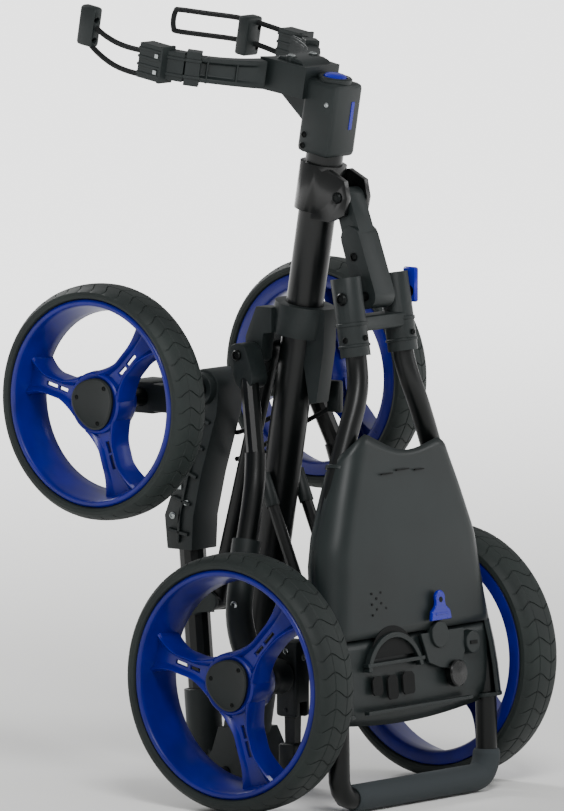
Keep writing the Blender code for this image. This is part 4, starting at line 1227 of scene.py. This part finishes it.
# ---------------------------------------------------------------- running gear
@dataclass
class RunningGear:
    """Collar, legs, axles, front frame and foot."""

    def build(self) -> None:
        """Builds the running gear's pieces."""
        castings = {"slider_collar": "slider", "leg_bracket_left": "rear_legs",
                    "leg_bracket_right": "rear_legs",
                    "brake_housing": "rear_legs", "foot_casting": "frame", "front_knuckle": "front_frame",
                    "link_clamp": "front_frame", "front_casting": "front_frame",
                    "lower_cradle_left": "front_frame", "lower_cradle_right": "front_frame",
                    "prong_cap_left": "rear_legs", "prong_cap_right": "rear_legs"}
        for node, body in castings.items():
            softened(node, NYLON, body, 0.0014)
        softened("drag_link", POWDER, "drag_link", 0.0010)
        softened("brake_pedal", CAP, "brake_pedal", 0.0012)
        softened("strap_hook", CAP, "front_frame", 0.0008)
        for side, word in ((-1, "left"), (1, "right")):
            self.leg(side, word)
        self.post_ribs()
        self.bolts()

    def leg(self, side: int, word: str) -> None:
        """The leg's lower tube and its casting to the axle, round with a collar and a thinner neck, with an axle
        boss and two screws.

        Args:
            side: -1 left, 1 right.
            word: The side's name.
        """
        spine = [(0.0713, 0.0682, 0.3858), (0.0760, 0.0650, 0.366), (0.0820, 0.0622, 0.345),
                 (0.0905, 0.0612, 0.312),
                 (0.1000, 0.0600, 0.280), (0.1100, 0.0575,
                                           0.245), (0.1190, 0.0535, 0.212), (0.1265, 0.0415, 0.184),
                 (0.1300, 0.0280, 0.166), (0.1315, 0.0120, 0.152), (0.1320, 0.0000, 0.1455)]
        path = [Vector((side * x, y - FOOT_Y, z)) for x, y, z in flowing(spine, 3)]
        upper = [p for p in path if p.z > 0.268]
        lower = [p for p in path if p.z < 0.292]
        sweep(f"leg_lower_tube_{word}", upper, 0.0122, POWDER, "rear_legs", (), 28)

        def girth(run: float) -> float:
            """Gives the tube's end a collar and a thinner neck below it.

            Args:
                run: Distance along the casting.

            Returns:
                The radius' factor.
            """
            return 1.04 if run < 0.024 else 0.92 + 0.08 * min(1.0, (run - 0.024) / 0.10)

        sweep(f"leg_moulding_{word}", lower, 0.0158, NYLON, "rear_legs",
              (f"leg_casting_{word}",), 28,
              girth)
        bm = bmesh.new()
        lathe(bm, [(0.0105, -0.0185), (0.0200, -0.0185), (0.0200, -0.008), (0.0175, -0.004), (0.0175, 0.010),
                   (0.0200, 0.014), (0.0200, 0.0185), (0.0105, 0.0185)], 40)
        place = Matrix.Translation((side * 0.1315, -FOOT_Y, 0.145)) @ Matrix.Rotation(QUARTER, 4, "Y")
        publish(bm, f"axle_boss_{word}", NYLON, "rear_legs", place, (), 0.0010)
        spots = [(facing("-x" if side < 0 else "+x", side * 0.1165, 0.0600, 0.276), 0.0042, 0.0020),
                 (facing("-x" if side < 0 else "+x", side * 0.1300, 0.0520, 0.222), 0.0048, 0.0020)]
        fittings(f"leg_screws_{word}", spots, ZINC, "rear_legs")

    def post_ribs(self) -> None:
        """Ribs, a boss and two zinc pins on both sides of the front casting."""
        bm = bmesh.new()
        for side in (-1, 1):
            low, high = sorted((side * 0.0223, side * 0.0262))
            for y, z, angle, long in ((0.2190, 0.282, -82, 0.030), (0.2140, 0.318, -74, 0.028),
                                      (0.2035, 0.350, -70, 0.026),
                                      (0.1940, 0.382, -72, 0.026), (0.1850, 0.412, -74, 0.026)):
                turn = (Matrix.Translation((0, y - FOOT_Y,
                                            z)) @ Matrix.Rotation(math.radians(angle + 90), 4, "X"))
                box(bm, (low, -long / 2, -0.0018), (high, long / 2, 0.0018), turn)
            for y, z, angle, long in ((0.2030, 0.350, 14.6, 0.120), (0.2165, 0.290, 4, 0.040)):
                turn = (Matrix.Translation((0, y - FOOT_Y, z)) @ Matrix.Rotation(math.radians(angle), 4, "X"))
                box(bm, (low, -0.0016, -long / 2), (high, 0.0016, long / 2), turn)
            a, b = Vector((side * 0.0223, 0.183 - FOOT_Y,
                           0.447)), Vector((side * 0.0300, 0.183 - FOOT_Y, 0.447))
            cylinder(bm, a, b, 0.0190, 36, 0.0170)
        publish(bm, "front_casting_ribs", NYLON, "front_frame", None, (), 0.0006)
        bm = bmesh.new()
        for side in (-1, 1):
            for y, z in ((0.2170, 0.3335), (0.2070, 0.3160)):
                low, high = sorted((side * 0.0224, side * 0.0244))
                box(bm, (low, y - 0.0030 - FOOT_Y, z - 0.0030), (high, y + 0.0030 - FOOT_Y, z + 0.0030))
        publish(bm, "front_casting_pins", ZINC, "front_frame", None, (), 0.0004)

    def bolts(self) -> None:
        """Screws on the castings."""
        spots = []
        for side, axis in ((-1, "-x"), (1, "+x")):
            spots.append((facing(axis, side * 0.0620, 0.103, 0.493), 0.0062, 0.0030))
        fittings("leg_pin_screws", spots, BLACK_STEEL, "slider")
        spots = []
        for side, axis in ((-1, "-x"), (1, "+x")):
            spots += [(facing(axis, side * 0.0222, 0.228, 0.300), 0.0042, 0.0018),
                      (facing(axis, side * 0.0222, 0.214, 0.345), 0.0042, 0.0018),
                      (facing(axis, side * 0.0222, 0.196, 0.395), 0.0042, 0.0018)]
        fittings("front_casting_screws", spots, ZINC, "front_frame")
        spots = [(facing(axis, side * 0.0268, 0.148, 0.015), 0.0075, 0.0030) for side,
                 axis in ((-1, "-x"), (1, "+x"))]
        spots += [(facing(axis, side * 0.0266, 0.130, 0.046), 0.0038, 0.0016) for side,
                  axis in ((-1, "-x"), (1, "+x"))]
        fittings("foot_screws", spots, BLACK_STEEL, "frame")
        spots = [(facing("-x", -0.1025, 0.0, 0.172), 0.0036, 0.0016),
                 (facing("-y", -0.090, -0.0148, 0.165), 0.0036, 0.0016)]
        fittings("brake_screws", spots, ZINC, "rear_legs")


# ---------------------------------------------------------------- setting
@dataclass
class Studio:
    """Pale floor, soft light and the camera."""

    azimuth: float = -51.26
    elevation: float = 6.28
    distance: float = 15.0
    lens: float = 594.0
    target: tuple[float, float, float] = (0.0, 0.0878 - FOOT_Y, 0.4323)

    def build(self) -> None:
        """Places the camera, the floor and the lights."""
        scene = bpy.context.scene
        turn, rise = math.radians(self.azimuth), math.radians(self.elevation)
        back = Vector((math.sin(turn) * math.cos(rise), -math.cos(turn) * math.cos(rise), math.sin(rise)))
        lens = bpy.data.cameras.new("camera")
        lens.lens = self.lens
        lens.sensor_width = 36.0
        lens.clip_end = 200.0
        camera = bpy.data.objects.new("camera", lens)
        camera.location = Vector(self.target) + back * self.distance
        camera.rotation_mode = "QUATERNION"
        camera.rotation_quaternion = (-back).to_track_quat("-Z", "Y")
        scene.collection.objects.link(camera)
        scene.camera = camera
        self.floor()
        self.light("key", (-2.2, -2.4, 3.2), 1.2, 105.0)
        self.light("fill", (2.6, -2.6, 1.8), 1.4, 26.0)
        self.light("rim", (0.6, 3.2, 2.6), 1.2, 80.0)
        world = bpy.data.worlds.new("studio")
        world.use_nodes = True
        sky = world.node_tree.nodes["Background"]
        sky.inputs["Color"].default_value = (1.0, 1.0, 1.0, 1.0)
        sky.inputs["Strength"].default_value = 0.50
        scene.world = world

    def floor(self) -> None:
        """A wide pale floor."""
        bm = bmesh.new()
        bmesh.ops.create_circle(bm, cap_ends=True, segments=64, radius=40.0,
                                matrix=Matrix.Translation((0, 0, -0.0004)))
        mesh = bpy.data.meshes.new("floor")
        bm.to_mesh(mesh)
        bm.free()
        pale = bpy.data.materials.new("pale_floor")
        pale.use_nodes = True
        shader = pale.node_tree.nodes["Principled BSDF"]
        shader.inputs["Base Color"].default_value = linear("f4f4f2")
        shader.inputs["Roughness"].default_value = 0.9
        shader.inputs["Emission Color"].default_value = (1.0, 1.0, 1.0, 1.0)
        tree = pale.node_tree
        spot = add_node(tree, "TexCoord").outputs["Object"]
        away = add_node(tree, "VectorMath", {"operation": "LENGTH"}, {"Vector": spot})
        glow = add_node(tree, "MapRange",
                        {"interpolation_type": "SMOOTHSTEP", "From Min": 0.5, "From Max": 6.0,
                                           "To Max": 2.2}, {"Value": away.outputs["Value"]})
        tree.links.new(glow.outputs["Result"], shader.inputs["Emission Strength"])
        mesh.materials.append(pale)
        floor = bpy.data.objects.new("floor", mesh)
        bpy.context.scene.collection.objects.link(floor)

    def light(self, name: str, position: tuple[float, float, float], size: float, power: float) -> None:
        """Adds a soft square light aimed at the trolley.

        Args:
            name: The light's name.
            position: Where it stands.
            size: Its width.
            power: Its power, in watts.
        """
        data = bpy.data.lights.new(name, "AREA")
        data.size = size
        data.energy = power
        lamp = bpy.data.objects.new(name, data)
        lamp.location = position
        lamp.rotation_mode = "QUATERNION"
        lamp.rotation_quaternion = (Vector(self.target) - Vector(position)).to_track_quat("-Z", "Y")
        bpy.context.scene.collection.objects.link(lamp)


def dress_frame() -> None:
    """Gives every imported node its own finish, or else the finish of its slot."""
    slots = {entry["node"]: entry["material_slot"] for entry in frame["record"]["subparts"]}
    for name, node in frame["nodes"].items():
        material = NODE_FINISH.get(name, SLOT_FINISH[slots[name]]).material()
        if not node.material_slots:
            node.data.materials.append(material)
        for entry in node.material_slots:
            entry.material = material


def main() -> None:
    """Builds the setting, then each sub-assembly."""
    logging.basicConfig(level=logging.INFO, format="%(name)s: %(message)s")
    Studio().build()
    dress_frame()
    rear = dict(x=0.184, y=0.0, z=0.145, tyre_r=0.145, rim_r=0.128, width=0.060)
    front = dict(x=0.199, y=0.183, z=0.447, tyre_r=0.1325, rim_r=0.1163, width=0.053)
    for side, word in ((-1, "left"), (1, "right")):
        Wheel(f"rear_wheel_{word}", side, **rear).build()
        Wheel(f"front_wheel_{word}", side, **front).build()
    Tubing().build()
    Cradle().build()
    Handle().build()
    Console().build()
    RunningGear().build()


if __name__ == "__main__":
    main()
